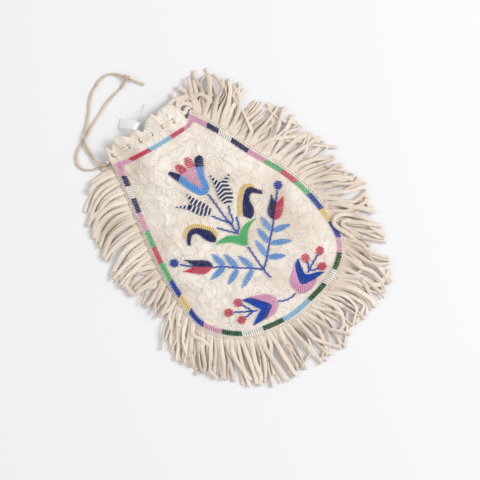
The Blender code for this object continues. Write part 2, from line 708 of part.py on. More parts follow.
def trimmed(curve, first, last):
    """The curve with its ends cut back to two corner points."""
    start = min(range(len(curve)), key=lambda i: (curve[i] - first).length) + 1
    end = min(range(len(curve)), key=lambda i: (curve[i] - last).length)
    return [first] + curve[start:end] + [last]


def lane_stretch(leg, first, last):
    """Bead rows across one leg of the lane, from one share of its length to another."""
    outer, inner = leg
    outer_length, inner_length = distances(outer)[-1], distances(inner)[-1]
    count = 2 * ribs_in((last - first) * outer_length) + 1
    return rungs_between(
        between(outer, first * outer_length, last * outer_length, count),
        between(inner, first * inner_length, last * inner_length, count),
    )


def add_lane(skin, collection):
    """The blocks of the lane, each its own object. The blocks at the corners turn them."""
    side, mouth = lane_legs()
    side_length, mouth_length = distances(side[0])[-1], distances(mouth[0])[-1]
    total = side_length + mouth_length
    square = total / sum(length for _, length in BLOCKS)
    start = -CORNER_BLOCK_TOP * square
    for number, (colour, length) in enumerate(BLOCKS, 1):
        end = start + length * square
        first, last = start + 0.5 * BLOCK_GAP, end - 0.5 * BLOCK_GAP
        stretches = []
        if first < 0.0:
            stretches.append(lane_stretch(mouth, 1.0 + first / mouth_length, 1.0))
        if first < side_length and last > 0.0:
            low, high = max(first, 0.0), min(last, side_length)
            stretches.append(lane_stretch(side, low / side_length, high / side_length))
        if last > side_length:
            low = max(first - side_length, 0.0)
            stretches.append(lane_stretch(mouth, low / mouth_length, (last - side_length) / mouth_length))
        name = f"lane_{number:02d}_{colour}"
        bead_object(name, [(colour, rungs) for rungs in stretches], [colour], skin, collection)
        start = end


def stem(points, shoots=(), end=None):
    """A line of beads, with shoots (foot, grower) on its sides and perhaps one at its end.

    It returns a grower: a function of the two points that the line grows from, or of None.
    """
    def grow(base):
        line = smooth_curve(spots(points))
        along = distances(line)
        half = 0.5 * STEM_WIDTH
        joints = []
        for foot, _ in shoots:
            place = spot(foot)
            near = min(range(len(line)), key=lambda i: (line[i] - place).length)
            where = along[near]
            for known in joints:
                if abs(known - where) < JOINT_WIDTH:
                    where = known
            joints.append(where)
        stops = {0.0, along[-1]}
        for where in joints:
            stops |= {where - 0.5 * JOINT_WIDTH, where + 0.5 * JOINT_WIDTH}
        steps = int(along[-1] / 0.008)
        for step in range(1, steps):
            where = along[-1] * step / steps
            if all(abs(where - stop) > 0.6 * JOINT_WIDTH for stop in stops):
                stops.add(where)
        stops = sorted(stops)
        rungs = [(base[0], base[1], 2)] if base else []
        lefts, rights = [], []
        for index, where in enumerate(stops):
            here = point_at(line, along, where)
            ahead = point_at(line, along, where + 0.0004) - point_at(line, along, where - 0.0004)
            side = Vector((-ahead.y, ahead.x, 0.0)).normalized() * half
            lefts.append(here + side)
            rights.append(here - side)
            if index or not base:
                rungs.append((here + side, here - side, 2))
        rungs = untwist(rungs) if base else rungs
        grown = [("navy", rungs)]
        for (_, grower), where in zip(shoots, joints):
            index = min(range(len(stops)), key=lambda i: abs(stops[i] - (where - 0.5 * JOINT_WIDTH)))
            tip = grower.tip
            nearer_left = (lefts[index] - tip).length < (rights[index] - tip).length
            chosen = lefts if nearer_left else rights
            grown += grower((chosen[index], chosen[index + 1]))
        if end:
            grown += end((lefts[-1], rights[-1]))
        return grown

    grow.tip = spot(points[min(1, len(points) - 1)])
    return grow


def untwist(rungs):
    """Swaps the ends of the first rung where they would cross the second."""
    first, second = rungs[0], rungs[1]
    straight = (first[0] - second[0]).length + (first[1] - second[1]).length
    crossed = (first[0] - second[1]).length + (first[1] - second[0]).length
    if crossed < straight:
        rungs = [(first[1], first[0], first[2])] + rungs[1:]
    return rungs


def leaf(tip, colour="blue"):
    """A pointed leaf that grows from the side of its stem."""
    def grow(base):
        foot = 0.5 * (base[0] + base[1])
        axis = spot(tip) - foot
        side = Vector((-axis.y, axis.x, 0.0)).normalized()
        count = 2 * ribs_in(axis.length)
        rungs = [(base[0], base[1], 0)]
        for step in range(1, count + 1):
            t = step / count
            half = 0.5 * LEAF_WIDTH * math.sin(math.pi * (0.12 + 0.86 * t)) ** 0.8 + 0.0002
            here = foot + axis * t
            rungs.append((here + side * half, here - side * half, step % 2))
        return [(colour, untwist(rungs))]

    grow.tip = spot(tip)
    return grow


def berry(centre, colour):
    """A round spot of bead rows at the end of a line of beads."""
    def grow(base):
        foot, middle = 0.5 * (base[0] + base[1]), spot(centre)
        axis = (middle - foot).normalized()
        side = Vector((-axis.y, axis.x, 0.0))
        rungs = [(base[0], base[1], 0)]
        for step in range(BERRY_STEPS + 1):
            t = -0.9 + 1.84 * step / BERRY_STEPS
            half = BERRY_RADIUS * math.sqrt(1.0 - t * t)
            here = middle + axis * BERRY_RADIUS * t
            rungs.append((here + side * half, here - side * half, step % 2))
        return [(colour, untwist(rungs))]

    grow.tip = spot(centre)
    return grow


def bands(curves, colours, kinds=(0, 1)):
    """Bead rows in as many bands as there are colours, each between two neighbouring curves."""
    smooth = [smooth_curve(spots(curve)) for curve in curves]
    length = sum(distances(curve)[-1] for curve in smooth) / len(smooth)
    count = 2 * ribs_in(length) + 1
    sides = [resample(curve, count) for curve in smooth]
    return [(colour, rungs_between(*pair, kinds)) for colour, pair in zip(colours, zip(sides, sides[1:]))]


def prong(rung, tip, colour):
    """A tapering end that goes on from the last rung of a band."""
    left, right, _ = rung
    end = spot(tip)
    side = (right - left).normalized() * TIP_HALF
    count = 2 * ribs_in((end - 0.5 * (left + right)).length) + 1
    return colour, rungs_between(resample([left, end - side], count), resample([right, end + side], count))


def striped(ladders, colours):
    """The same rungs with the colour changing at each bead row."""
    stripes = []
    for _, rungs in ladders:
        for index in range(0, len(rungs) - 1, 2):
            stripes.append((colours[(index // 2) % len(colours)], rungs[index:index + 3]))
    return stripes


def parted(sides, tips, stripes, tip_stripes):
    """Two halves that share a centre line and part into two tips."""
    body = bands(sides, stripes[:1] * 2)
    ends = [prong(rungs[-1], tip, tip_stripes[0]) for (_, rungs), tip in zip(body, tips)]
    return striped(body, stripes) + striped(ends, tip_stripes)


def outer_petals():
    """The V of the big flower, with its first and last rows in another colour."""
    rungs = ladder(*OUTER_PETALS)
    rows = (len(rungs) - 1) // 2
    ladders = []
    for row in range(rows):
        colour = "navy" if row < 3 or row >= rows - 3 else "blue"
        ladders.append((colour, rungs[2 * row:2 * row + 3]))
    return ladders


def curl(outer, shared, inner, tip):
    """A leaf of two bands that rolls over at its end."""
    ladders = bands((outer, shared, inner), ("yellow", "navy"))
    return ladders + [prong(ladders[1][1][-1], tip, "navy")]


def bud(colours, left, centre, right, tips, stamen, dot):
    """Two halves with a line of beads between them, which goes on to a round spot."""
    line = smooth_curve(spots(centre))
    count = 2 * ribs_in(distances(line)[-1]) + 1
    line = resample(line, count)
    near, far = offset(line, -0.5 * STEM_WIDTH), offset(line, 0.5 * STEM_WIDTH)
    sides = [resample(smooth_curve(spots(side)), count) for side in (left, right)]
    first = (colours[0], rungs_between(sides[0], near))
    second = (colours[1], rungs_between(far, sides[1]))
    ends = [prong(half[1][-1], tip, half[0]) for half, tip in zip((first, second), tips)]
    grow = stem(stamen, end=berry(dot, "royal"))
    return [first, second, ("white", rungs_between(near, far))] + ends + grow((near[-1], far[-1]))


def hanging_flower(outer, shared, inner, ends, link=None):
    """A crescent of two bands. The outer band covers part of the inner one's length."""
    line, inside = smooth_curve(spots(shared)), smooth_curve(spots(inner))
    count = 2 * ribs_in(distances(line)[-1]) + 1
    line, inside = resample(line, count), resample(inside, count)
    first, last = (
        2 * round(0.5 * min(range(count), key=lambda i: (line[i] - spot(end)).length)) for end in ends
    )
    rim = resample(smooth_curve(spots(outer)), last - first + 1)
    ladders = [("pink", rungs_between(rim, line[first:last + 1])), ("royal", rungs_between(line, inside))]
    if link:
        foot = min(range(len(rim) - 1), key=lambda i: (rim[i] - spot(link[0])).length)
        ladders += stem(link)((rim[foot], rim[foot + 1]))
    return ladders


def cluster(line, dot, *shoots):
    """Berries on lines of beads that part from one another."""
    grown = [(points[0], stem(points, end=berry(centre, "red"))) for points, centre in shoots]
    return stem(line, grown, end=berry(dot, "red"))(None)


def branch(points, leaves):
    return points[0], stem(points, [(foot, leaf(tip)) for foot, tip in leaves])


def add_flowers(skin, collection):
    """The flower spray and the two hanging flowers, each motif its own object."""
    pieces = {
        "flower_outer_petals": outer_petals(),
        "flower_inner_petals": parted(INNER_PETALS[:3], INNER_PETALS[3], ("pink",), ("red",)),
        "bell_left": parted(BELL_LEFT[:3], BELL_LEFT[3], ("navy", "white"), ("navy", "white")),
        "bell_right": parted(BELL_RIGHT[:3], BELL_RIGHT[3], ("navy", "white"), ("navy", "white")),
        "curl_left": curl(*CURL_LEFT),
        "curl_right": curl(*CURL_RIGHT),
        "calyx": [("green", ladder(*CALYX))],
        "upper_stems": stem(UPPER_STEM, [(points[0], stem(points)) for points in UPPER_SHOOTS])(None),
        "branches": stem(
            LOWER_STEM, [branch(LEFT_BRANCH, LEFT_LEAVES), branch(RIGHT_BRANCH, RIGHT_LEAVES)]
        )(None),
        "bud_left": bud(("red", "navy"), *BUD_LEFT),
        "bud_right": bud(("navy", "red"), *BUD_RIGHT),
        "hanging_flower_left": hanging_flower(*HANGING_LEFT, link=LINK),
        "hanging_flower_right": hanging_flower(*HANGING_RIGHT),
        "berries_left": cluster(*CLUSTER_LEFT),
        "berries_right": cluster(*CLUSTER_RIGHT),
    }
    for name, ladders in pieces.items():
        colours = sorted({colour for colour, _ in ladders})
        bead_object(name, ladders, colours, skin, collection)


def lace_level(tree, plan, marks, distance, over):
    """Height of the lace's middle where it lies over or under a panel."""
    offset_up = GAP + 0.5 * LACE_THICKNESS
    for reach in (0.6 * LACE_STEP, 2.0 * LACE_STEP):
        heights = []
        for step in range(-4, 5):
            along = distance + reach * step / 4.0
            point = point_at(plan, marks, along)
            side = lace_side(plan, marks, along)
            for share in (-0.6, 0.0, 0.6):
                place = point + side * LACE_WIDTH * share
                heights.append(top_of(tree, place) if over else under_of(tree, place))
        heights = [height for height in heights if height is not None]
        if heights:
            break
    return max(heights) + offset_up if over else min(heights) - offset_up


def lace_side(plan, marks, along):
    """Across the lace in plan."""
    direction = point_at(plan, marks, along + 0.001) - point_at(plan, marks, along - 0.001)
    return Vector((-direction.y, direction.x, 0.0)).normalized()


def add_lacing(front, back, collection):
    """The drawstring's flat stretch: through the front collar's slits and back through the back's."""
    plan, marks = lace_plan()
    path = []
    for tree, stops, inside_over in ((front, marks, False), (back, marks[::-1], True)):
        for index, (start, end) in enumerate(zip(stops, stops[1:])):
            over = inside_over if index % 2 == 0 else not inside_over
            steps = max(1, round(abs(end - start) / LACE_STEP))
            for step in range(steps + 1):
                along = start + (end - start) * step / steps
                path.append(Vector((along, lace_level(tree, plan, marks, along, over))))
    bm = bmesh.new()
    rings = []
    for index, here in enumerate(path):
        before = (here - path[index - 1]).normalized() if index else None
        after = (path[index + 1] - here).normalized() if index + 1 < len(path) else None
        normals = [Vector((-way.y, way.x)) for way in (before, after) if way]
        mitre = sum(normals, Vector((0.0, 0.0)))
        mitre *= LACE_THICKNESS / mitre.dot(normals[0]) / 2.0
        side = lace_side(plan, marks, here.x) * 0.5 * LACE_WIDTH
        ring = []
        for edge, across in ((mitre, side), (mitre, -side), (-mitre, -side), (-mitre, side)):
            place = beyond(plan, marks, here.x + edge.x)
            ring.append(bm.verts.new((place.x + across.x, place.y + across.y, here.y + edge.y)))
        rings.append(ring)
    for low, high in zip(rings, rings[1:]):
        for index in range(4):
            bm.faces.new((low[index], low[index - 1], high[index - 1], high[index]))
    bm.faces.new(rings[0])
    bm.faces.new(rings[-1])
    add_object("drawstring_lacing", mesh_of("drawstring_lacing", bm), collection, ["hide"])


def beyond(plan, marks, along):
    """A point of the lace's line in plan, which goes straight on past its ends."""
    inside = min(max(along, 0.0), marks[-1])
    direction = (plan[1] - plan[0] if along < 0.0 else plan[-1] - plan[-2]).normalized()
    return point_at(plan, marks, inside) + direction * (along - inside)


def add_tube(name, points, diameter, colour, collection):
    """A round cord along a smooth curve through the points."""
    line = smooth_curve(points)
    line = resample(line, max(8, round(distances(line)[-1] / (2.5 * diameter))) + 1)
    data = bpy.data.curves.new(name, "CURVE")
    data.dimensions = "3D"
    data.bevel_depth = 0.5 * diameter
    data.bevel_resolution = 2
    data.use_fill_caps = True
    spline = data.splines.new("POLY")
    spline.points.add(len(line) - 1)
    for target, point in zip(spline.points, line):
        target.co = (point.x, point.y, point.z, 1.0)
    return add_object(name, data, collection, [colour])


def add_strands(collection):
    """The two free ends of the drawstring, and the knot that the short one ends in."""
    add_tube("drawstring_long_strand", route(LONG_STRAND), STRAND_DIAMETER, "hide", collection)
    add_tube("drawstring_short_strand", route(SHORT_STRAND), STRAND_DIAMETER, "hide", collection)
    start, end = route((KNOT_START, KNOT_END))
    axis = (end - start).normalized()
    side, up = Vector((-axis.y, axis.x, 0.0)), Vector((0.0, 0.0, 1.0))
    radius = 0.5 * (STRAND_DIAMETER + KNOT_WIRE) + 1.6 * GAP
    points = []
    for step in range(10 * KNOT_TURNS + 1):
        turn = 2.0 * math.pi * step / 10
        points.append(start.lerp(end, step / (10 * KNOT_TURNS)) + (side * math.cos(turn) + up * math.sin(turn)) * radius)
    add_tube("drawstring_knot", points, KNOT_WIRE, "hide", collection)


def add_tag(skin, collection):
    """A paper tag that lies on the collar's edge and bends down to the table."""
    left, right = spots(TAG_LEFT), spots(TAG_RIGHT)
    level, reach = 0.0, 0.0
    for step in range(41):
        share = step / 40
        near, far = left[0].lerp(left[1], share), right[0].lerp(right[1], share)
        for cross in range(9):
            height = top_of(skin, near.lerp(far, cross / 8))
            if height is not None:
                level, reach = max(level, height + GAP), share
    bm = bmesh.new()
    pairs = []
    for share, height in ((0.0, level), (reach + 0.06, level), (1.0, GAP)):
        pair = (left[0].lerp(left[1], share), right[0].lerp(right[1], share))
        pairs.append([bm.verts.new((p.x, p.y, height)) for p in pair])
    for near, far in zip(pairs, pairs[1:]):
        bm.faces.new((near[0], near[1], far[1], far[0]))
    made = add_object("paper_tag", mesh_of("paper_tag", bm), collection, ["paper"])
    thicken(made, TAG_THICKNESS)
    return made


def add_thread(targets, collection):
    """The thread that holds the tag, from the collar over the tag and down to the table."""
    points, level = [], 0.0
    for x, y, share in THREAD:
        point = spot((x, y))
        if share == 1.0:
            around = [point + Vector((step, rise, 0.0)) * 0.0016 for step in (-1, 0, 1) for rise in (-1, 0, 1)]
            heights = [top_of(tree, place) for tree in targets for place in around]
            level = max([height for height in heights if height is not None], default=level)
        point.z = level * share + GAP + 0.5 * THREAD_DIAMETER
        points.append(point)
    add_tube("tag_thread", points, THREAD_DIAMETER, "thread", collection)


def main():
    for old in list(bpy.data.objects):
        bpy.data.objects.remove(old)
    bag = bpy.data.collections.new("beaded_medicine_bag")
    cutters = bpy.data.collections.new("cutters")
    bpy.context.scene.collection.children.link(bag)
    bpy.context.scene.collection.children.link(cutters)

    seam = seam_curve()
    cutter = add_slit_cutter(cutters)
    front = add_panel("front_panel", seam, COLLAR, 15, front_height, bag)
    back = add_panel("back_panel", seam, BACK_COLLAR, 11, back_height, bag)
    skin, back_skin = surface_of(front), surface_of(back)
    for panel in (front, back):
        cut_slits(panel, cutter)
    add_fringe(seam, bag)
    add_lane(skin, bag)
    add_flowers(skin, bag)
    add_lacing(skin, back_skin, bag)
    add_strands(bag)
    tag = add_tag(skin, bag)
    add_thread((skin, surface_of(tag)), bag)


main()
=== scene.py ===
"""Looks of a beaded hide pouch that lies on its back, with its mouth towards +Y.

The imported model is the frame. Every soft piece is modelled again here, in the place of its plain solid.
"""

import bisect
import math
import random

import bmesh
import bpy
from mathutils import Matrix, Vector, noise
from mathutils.bvhtree import BVHTree


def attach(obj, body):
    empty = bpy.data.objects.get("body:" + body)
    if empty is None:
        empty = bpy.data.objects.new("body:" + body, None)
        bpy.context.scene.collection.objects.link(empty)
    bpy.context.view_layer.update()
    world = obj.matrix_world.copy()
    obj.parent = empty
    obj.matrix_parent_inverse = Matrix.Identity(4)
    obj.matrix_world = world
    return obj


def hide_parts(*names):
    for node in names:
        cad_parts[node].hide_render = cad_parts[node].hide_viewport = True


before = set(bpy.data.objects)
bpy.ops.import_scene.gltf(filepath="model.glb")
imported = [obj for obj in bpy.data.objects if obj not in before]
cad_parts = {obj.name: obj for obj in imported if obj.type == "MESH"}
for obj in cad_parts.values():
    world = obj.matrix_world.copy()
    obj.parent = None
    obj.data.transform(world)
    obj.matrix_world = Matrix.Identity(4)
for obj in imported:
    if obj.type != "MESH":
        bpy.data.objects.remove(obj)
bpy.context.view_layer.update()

bl_info = {
    "name": "Beaded medicine bag",
    "version": (1, 0, 0),
    "blender": (4, 5, 0),
    "location": "3D View > Sidebar > Bag",
    "description": "Tanned hide, seed beads, fringe and drawstring of a beaded pouch",
    "category": "Object",
}

MM = 0.001
GAP = 0.3 * MM
HIDE = 1.2 * MM  # thickness of the tanned hide
SEAM_MARGIN = 4.5 * MM  # from the bead lane out to the sewn edge
LANE_WIDTH = 5.2 * MM
TOP_LANE_WIDTH = 4.3 * MM
STRAND_DIAMETER = 2.0 * MM
KNOT_WIRE = 1.6 * MM
LACE_WIDTH = 3.0 * MM
LACE_THICKNESS = 0.8 * MM
THREAD_DIAMETER = 0.5 * MM
TAG_CARD = 0.3 * MM
SLIT_WIDTH = 1.6 * MM
SLIT_LENGTH = 4.0 * MM
STITCH_PITCH = 3.0 * MM
STRIP_WIDTH = 4.2 * MM  # the fringe's uncut edge, in the seam
THONG_ROOT = 2.2 * MM  # how far a thong reaches in under the seam
THONG_STEP = 2.3 * MM
LEVELS = 4  # layers that the thongs lie in
# The seam lies higher near the mouth, where the drawstring gathers the bag
SEAM_RISE = 1.5 * MM
RISE_START = 59.0 * MM
RISE_LENGTH = 45.0 * MM
# Rows of the big flower's tips, on its outer petals and on its inner ones
NAVY_ROWS = 6
RED_ROWS = 5
KNOT_STEPS = 24  # points to a turn
# The photograph's view: the point under the camera and how far the bag is turned there
VIEW_CENTRE = (0.0, -19.4 * MM)
VIEW_TURN = -math.atan2(0.609, 0.793)
FLOOR_SIZE = 3.0

# Seed bead glass as sRGB, opaque and glossy
GLASS = {
    "pink": "#F5B5D9",
    "navy": "#242D6E",
    "royal": "#1B4FBC",
    "blue": "#6FB3FA",
    "light_blue": "#A2DCFF",
    "white": "#FFFFFC",
    "red": "#E4406A",
    "green": "#68CF86",
    "dark_green": "#15633F",
    "yellow": "#FFE59A",
}

# Old glass beads aren't all one size: these colours are the fuller ones, and the others sit a little apart
FULL_BEADS = ("navy", "royal", "dark_green")
FINER = 0.88
CREASE_SEED = 5

# Outer edge of the bead lane in millimetres, from the mouth's left corner round the bottom to its right corner
LANE_EDGE = (
    (-52.2, 116.7), (-61.4, 80.4), (-70.6, 46.0), (-79.6, 8.0), (-84.2, -32.0), (-82.6, -65.9),
    (-56.1, -97.4), (-14.6, -111.5), (18.6, -111.8), (58.7, -102.3), (82.6, -77.7), (86.0, -32.0),
    (79.0, 7.0), (63.2, 47.4), (51.7, 80.8), (37.9, 110.2),
)
# The same edge along the mouth, from the right corner back to the left one
MOUTH_EDGE = (
    (37.9, 110.2), (30.6, 105.0), (23.8, 104.5), (7.1, 105.6), (-16.1, 108.3), (-38.1, 112.5), (-52.2, 116.7),
)
LOWER_LEFT = 0.305  # where the left side turns into the bottom, as a share of the seam
LOWER_RIGHT = 0.655

# Blocks of the lane: colour and length in millimetres, from the top of the left corner block
BLOCKS = (
    ("pink", 27.3), ("navy", 11.6), ("white", 13.3), ("navy", 17.6), ("pink", 19.7), ("green", 17.2),
    ("red", 18.2), ("green", 20.1), ("royal", 18.8), ("yellow", 18.0), ("royal", 19.3), ("pink", 21.7),
    ("dark_green", 20.0), ("white", 21.4), ("dark_green", 22.8), ("light_blue", 33.2), ("dark_green", 24.0),
    ("white", 17.4), ("dark_green", 17.1), ("pink", 17.5), ("royal", 16.0), ("yellow", 17.2),
    ("royal", 19.6), ("green", 18.7), ("red", 18.0), ("green", 18.9), ("pink", 20.8), ("navy", 19.6),
    ("white", 15.8), ("navy", 13.6), ("pink", 34.5), ("red", 16.7), ("light_blue", 23.4), ("red", 22.4),
)
CORNER_BLOCK_TOP = 14.7  # how much of the first block lies along the mouth

# Collar over the mouth's lane: share of the way across and height, two shoulders to each scallop
COLLAR = (
    (0.0, 7.0), (0.057, 19.0), (0.092, 14.0), (0.138, 20.0), (0.213, 26.0), (0.27, 23.0), (0.32, 19.0),
    (0.371, 22.5), (0.416, 23.0), (0.459, 16.5), (0.503, 22.0), (0.547, 26.0), (0.621, 29.0),
    (0.66, 24.0), (0.702, 28.0), (0.806, 27.0), (0.857, 24.0), (0.885, 3.0), (0.938, 2.5), (1.0, 2.0),
)
BACK_COLLAR = (
    (0.0, 7.0), (0.12, 13.0), (0.3, 15.0), (0.5, 15.0), (0.7, 18.0), (0.857, 17.0), (0.9, 3.0), (1.0, 2.0),
)

# Slits of the front collar, two to each stretch of lace that shows
SLITS = ((-49.0, 124.4), (-31.7, 121.6), (-18.8, 119.5), (-5.6, 117.6), (7.0, 116.6), (19.1, 115.2))
LACE_EXIT = (-59.5, 122.5)
LACE_TURN = (26.0, 114.6)

# How the thongs lie: share of the seam from the left corner, direction at the seam and at the tip in degrees
# from +X, and how loosely they lie, from combed straight to tangled
COMB = (
    (0.0, 162.0, 212.0, 0.2), (0.08, 158.0, 210.0, 0.2), (0.15, 176.0, 196.0, 0.35), (0.20, 184.0, 200.0, 1.2),
    (0.26, 200.0, 240.0, 0.8), (0.32, 226.0, 254.0, 0.6), (0.38, 247.0, 257.0, 0.4), (0.46, 262.0, 264.0, 0.6),
    (0.51, 292.0, 262.0, 0.9), (0.56, 306.0, 272.0, 1.0), (0.61, 296.0, 284.0, 0.9), (0.67, 302.0, 288.0, 1.0),
    (0.72, 322.0, 312.0, 1.0), (0.78, 342.0, 340.0, 1.1), (0.84, 362.0, 360.0, 1.0), (0.90, 368.0, 382.0, 1.1),
    (0.96, 398.0, 414.0, 1.3), (1.0, 420.0, 440.0, 1.4),
)
# The line that the tips reach, in millimetres
TIPS = (
    (-83.3, 115.5), (-57.5, 118.9), (-40.0, 100.0), (20.0, 100.0), (8.0, 132.0), (20.2, 138.3), (52.0, 143.0),
    (66.8, 141.2), (96.5, 114.5), (98.4, 81.2), (112.2, 67.7), (117.9, 57.6), (120.2, 44.3), (119.6, 28.4),
    (136.0, -5.6), (126.4, -10.6), (130.7, -35.2), (138.2, -50.6), (129.8, -61.5), (120.1, -104.2),
    (103.7, -135.7), (95.8, -146.0), (79.3, -157.4), (56.4, -157.2), (21.9, -169.4), (-13.0, -169.5),
    (-32.5, -162.3), (-57.2, -161.7), (-83.1, -142.8), (-98.8, -121.1), (-116.9, -91.8), (-134.9, -54.8),
    (-111.7, -32.2), (-119.3, -7.0), (-125.7, 25.0), (-121.6, 43.0), (-116.8, 56.7), (-116.4, 77.2),
    (-107.3, 99.2),
)
# Thongs that fell back over the bag or stand out of the fringe, with heights, in millimetres
STRAYS = (
    ((46.0, 112.0, 3.0), (42.0, 120.0, 6.0), (36.0, 124.0, 7.6), (29.5, 122.5, 8.6), (27.0, 128.0, 9.0),
     (31.0, 133.0, 7.6)),
    ((44.0, 116.0, 3.0), (38.0, 117.5, 6.0), (33.0, 115.0, 7.4), (30.0, 119.0, 8.4), (33.0, 126.0, 8.0),
     (40.0, 130.0, 6.4)),
    ((48.0, 116.0, 3.0), (50.0, 124.0, 5.0), (44.0, 128.0, 5.6), (38.0, 126.0, 6.6), (34.0, 131.0, 6.2),
     (38.0, 138.0, 4.2)),
    ((45.8, 119.4, 3.0), (42.2, 128.0, 6.0), (31.0, 131.6, 8.5), (20.0, 128.8, 10.5), (17.6, 123.0, 11.0)),
    ((60.2, 106.0, 3.0), (66.0, 118.0, 5.0), (72.4, 124.0, 4.5), (76.0, 129.0, 2.0), (78.6, 138.0, 1.6)),
    ((46.0, 118.0, 3.0), (55.0, 124.0, 5.5), (58.4, 132.0, 4.0), (64.0, 138.0, 1.8), (67.0, 144.0, 1.4)),
    ((52.0, 108.0, 4.0), (60.0, 110.0, 7.0), (58.0, 120.0, 6.4), (48.0, 123.0, 6.0), (42.0, 130.0, 4.0)),
    ((107.0, -70.0, 4.0), (98.0, -62.0, 6.6), (90.0, -59.4, 8.2), (84.6, -62.6, 8.8), (84.8, -69.0, 8.8),
     (88.4, -78.0, 7.8), (91.0, -88.0, 5.0), (91.5, -101.0, 2.4)),
    ((104.0, -78.0, 3.6), (97.0, -69.0, 6.0), (90.6, -68.4, 7.0), (92.0, -76.0, 6.4), (97.4, -88.0, 4.6),
     (100.0, -104.0, 1.8)),
    ((-90.0, 2.0, 4.0), (-97.0, -4.0, 6.6), (-103.0, 1.0, 6.0), (-112.0, 6.0, 4.0), (-119.0, 4.0, 2.0)),
    ((-88.0, -56.0, 4.0), (-95.0, -66.0, 6.4), (-90.0, -78.0, 6.0), (-92.0, -92.0, 3.0), (-104.0, -102.0, 1.6),
     (-118.0, -98.0, 1.4)),
)

# Free ends of the drawstring: the place and the height of each point in millimetres
LONG_STRAND = (
    (-60.3, 122.4, 6.0), (-62.4, 122.9, 5.7), (-64.6, 125.6, 4.9), (-66.4, 131.2, 3.5), (-66.9, 138.0, 2.5),
    (-65.6, 146.4, 2.7), (-63.4, 153.2, 3.7), (-61.3, 156.6, 3.9), (-58.8, 160.0, 3.4), (-52.6, 165.0, 1.4),
    (-44.4, 172.5, 1.1), (-37.2, 180.5, 1.1), (-27.4, 188.4, 1.1), (-15.9, 193.1, 1.1), (-4.1, 193.2, 1.1),
    (3.2, 187.6, 2.4), (7.2, 181.4, 3.5), (10.6, 176.2, 3.5), (14.8, 169.6, 2.2), (18.6, 163.0, 1.1),
)
SHORT_STRAND = (
    (-60.3, 122.4, 3.2), (-64.4, 122.9, 2.2), (-70.5, 125.0, 1.1), (-77.6, 128.4, 1.1), (-82.4, 133.8, 1.1),
    (-82.8, 141.2, 1.1), (-77.6, 148.4, 1.1), (-69.6, 153.4, 1.1), (-61.8, 156.4, 1.1), (-54.2, 159.0, 1.1),
    (-46.0, 162.6, 1.1), (-33.4, 167.3, 1.1), (-20.8, 171.4, 1.1), (-8.0, 173.6, 1.2), (0.0, 174.8, 2.0),
    (5.4, 176.9, 3.0),
)
KNOT_START = (7.8, 180.5, 3.5)
KNOT_END = (10.0, 177.1, 3.5)
KNOT_TURNS = 2

# Tag: its two long edges, from the collar outwards
TAG_LEFT = ((-15.6, 129.8), (-28.4, 144.0))
TAG_RIGHT = ((-6.4, 133.2), (-20.4, 150.8))
# Thread: each point with its share of the collar's height, 1 where it lies on the collar or the tag
THREAD = (
    (-5.9, 121.2, 1.0), (-5.6, 125.0, 1.0), (-6.0, 128.6, 1.0), (-7.2, 131.4, 1.0), (-8.4, 134.2, 1.0),
    (-6.0, 136.2, 1.0), (-1.6, 140.2, 0.62), (2.4, 143.4, 0.2), (6.3, 147.2, 0.0),
)

# Flower spray, in millimetres. The big flower: the outer V, then the petals inside it
OUTER_PETALS = (
    ((-17.0, 76.7), (-14.6, 67.0), (-6.8, 44.3), (-1.8, 38.1), (3.4, 37.3), (8.0, 40.6), (10.6, 51.1),
     (16.2, 60.4),
     (20.9, 68.3), (19.3, 72.0)),
    ((-13.5, 76.9), (-8.0, 69.0), (-3.9, 55.5), (-0.6, 47.2), (1.0, 43.1), (3.7, 47.8), (8.3, 62.6),
     (11.9, 70.4),
     (16.0, 72.6)),
)
# Each of the two petals inside it is its left side and its right side, with rounded tips
INNER_PETALS = (
    (((-0.3, 44.6), (-3.2, 56.8), (-6.9, 68.2), (-8.9, 78.6)), ((1.4, 45.0), (1.6, 57.2), (0.9, 67.6),
                                                                (-0.4, 77.6))),
    (((1.9, 45.0), (2.2, 57.2), (2.0, 68.1), (3.2, 79.6)), ((3.0, 44.6), (6.1, 54.5), (9.5, 65.6),
                                                            (12.0, 77.0))),
)
# Each of these is a left side, a centre line, a right side and the two tips
BELL_LEFT = (
    ((-9.0, 18.4), (-16.4, 23.8), (-22.6, 36.1)),
    ((-6.4, 20.3), (-11.8, 29.5), (-17.3, 38.5)),
    ((-3.6, 22.5), (-5.6, 31.0), (-10.4, 41.0)),
    ((-30.6, 45.4), (-14.2, 49.2)),
)
BELL_RIGHT = (
    ((9.7, 18.6), (9.2, 27.2), (12.0, 34.7)),
    ((13.2, 17.4), (16.5, 27.4), (19.8, 37.6)),
    ((15.9, 15.3), (21.6, 19.6), (25.0, 33.4)),
    ((15.8, 49.6), (32.8, 39.8)),
)
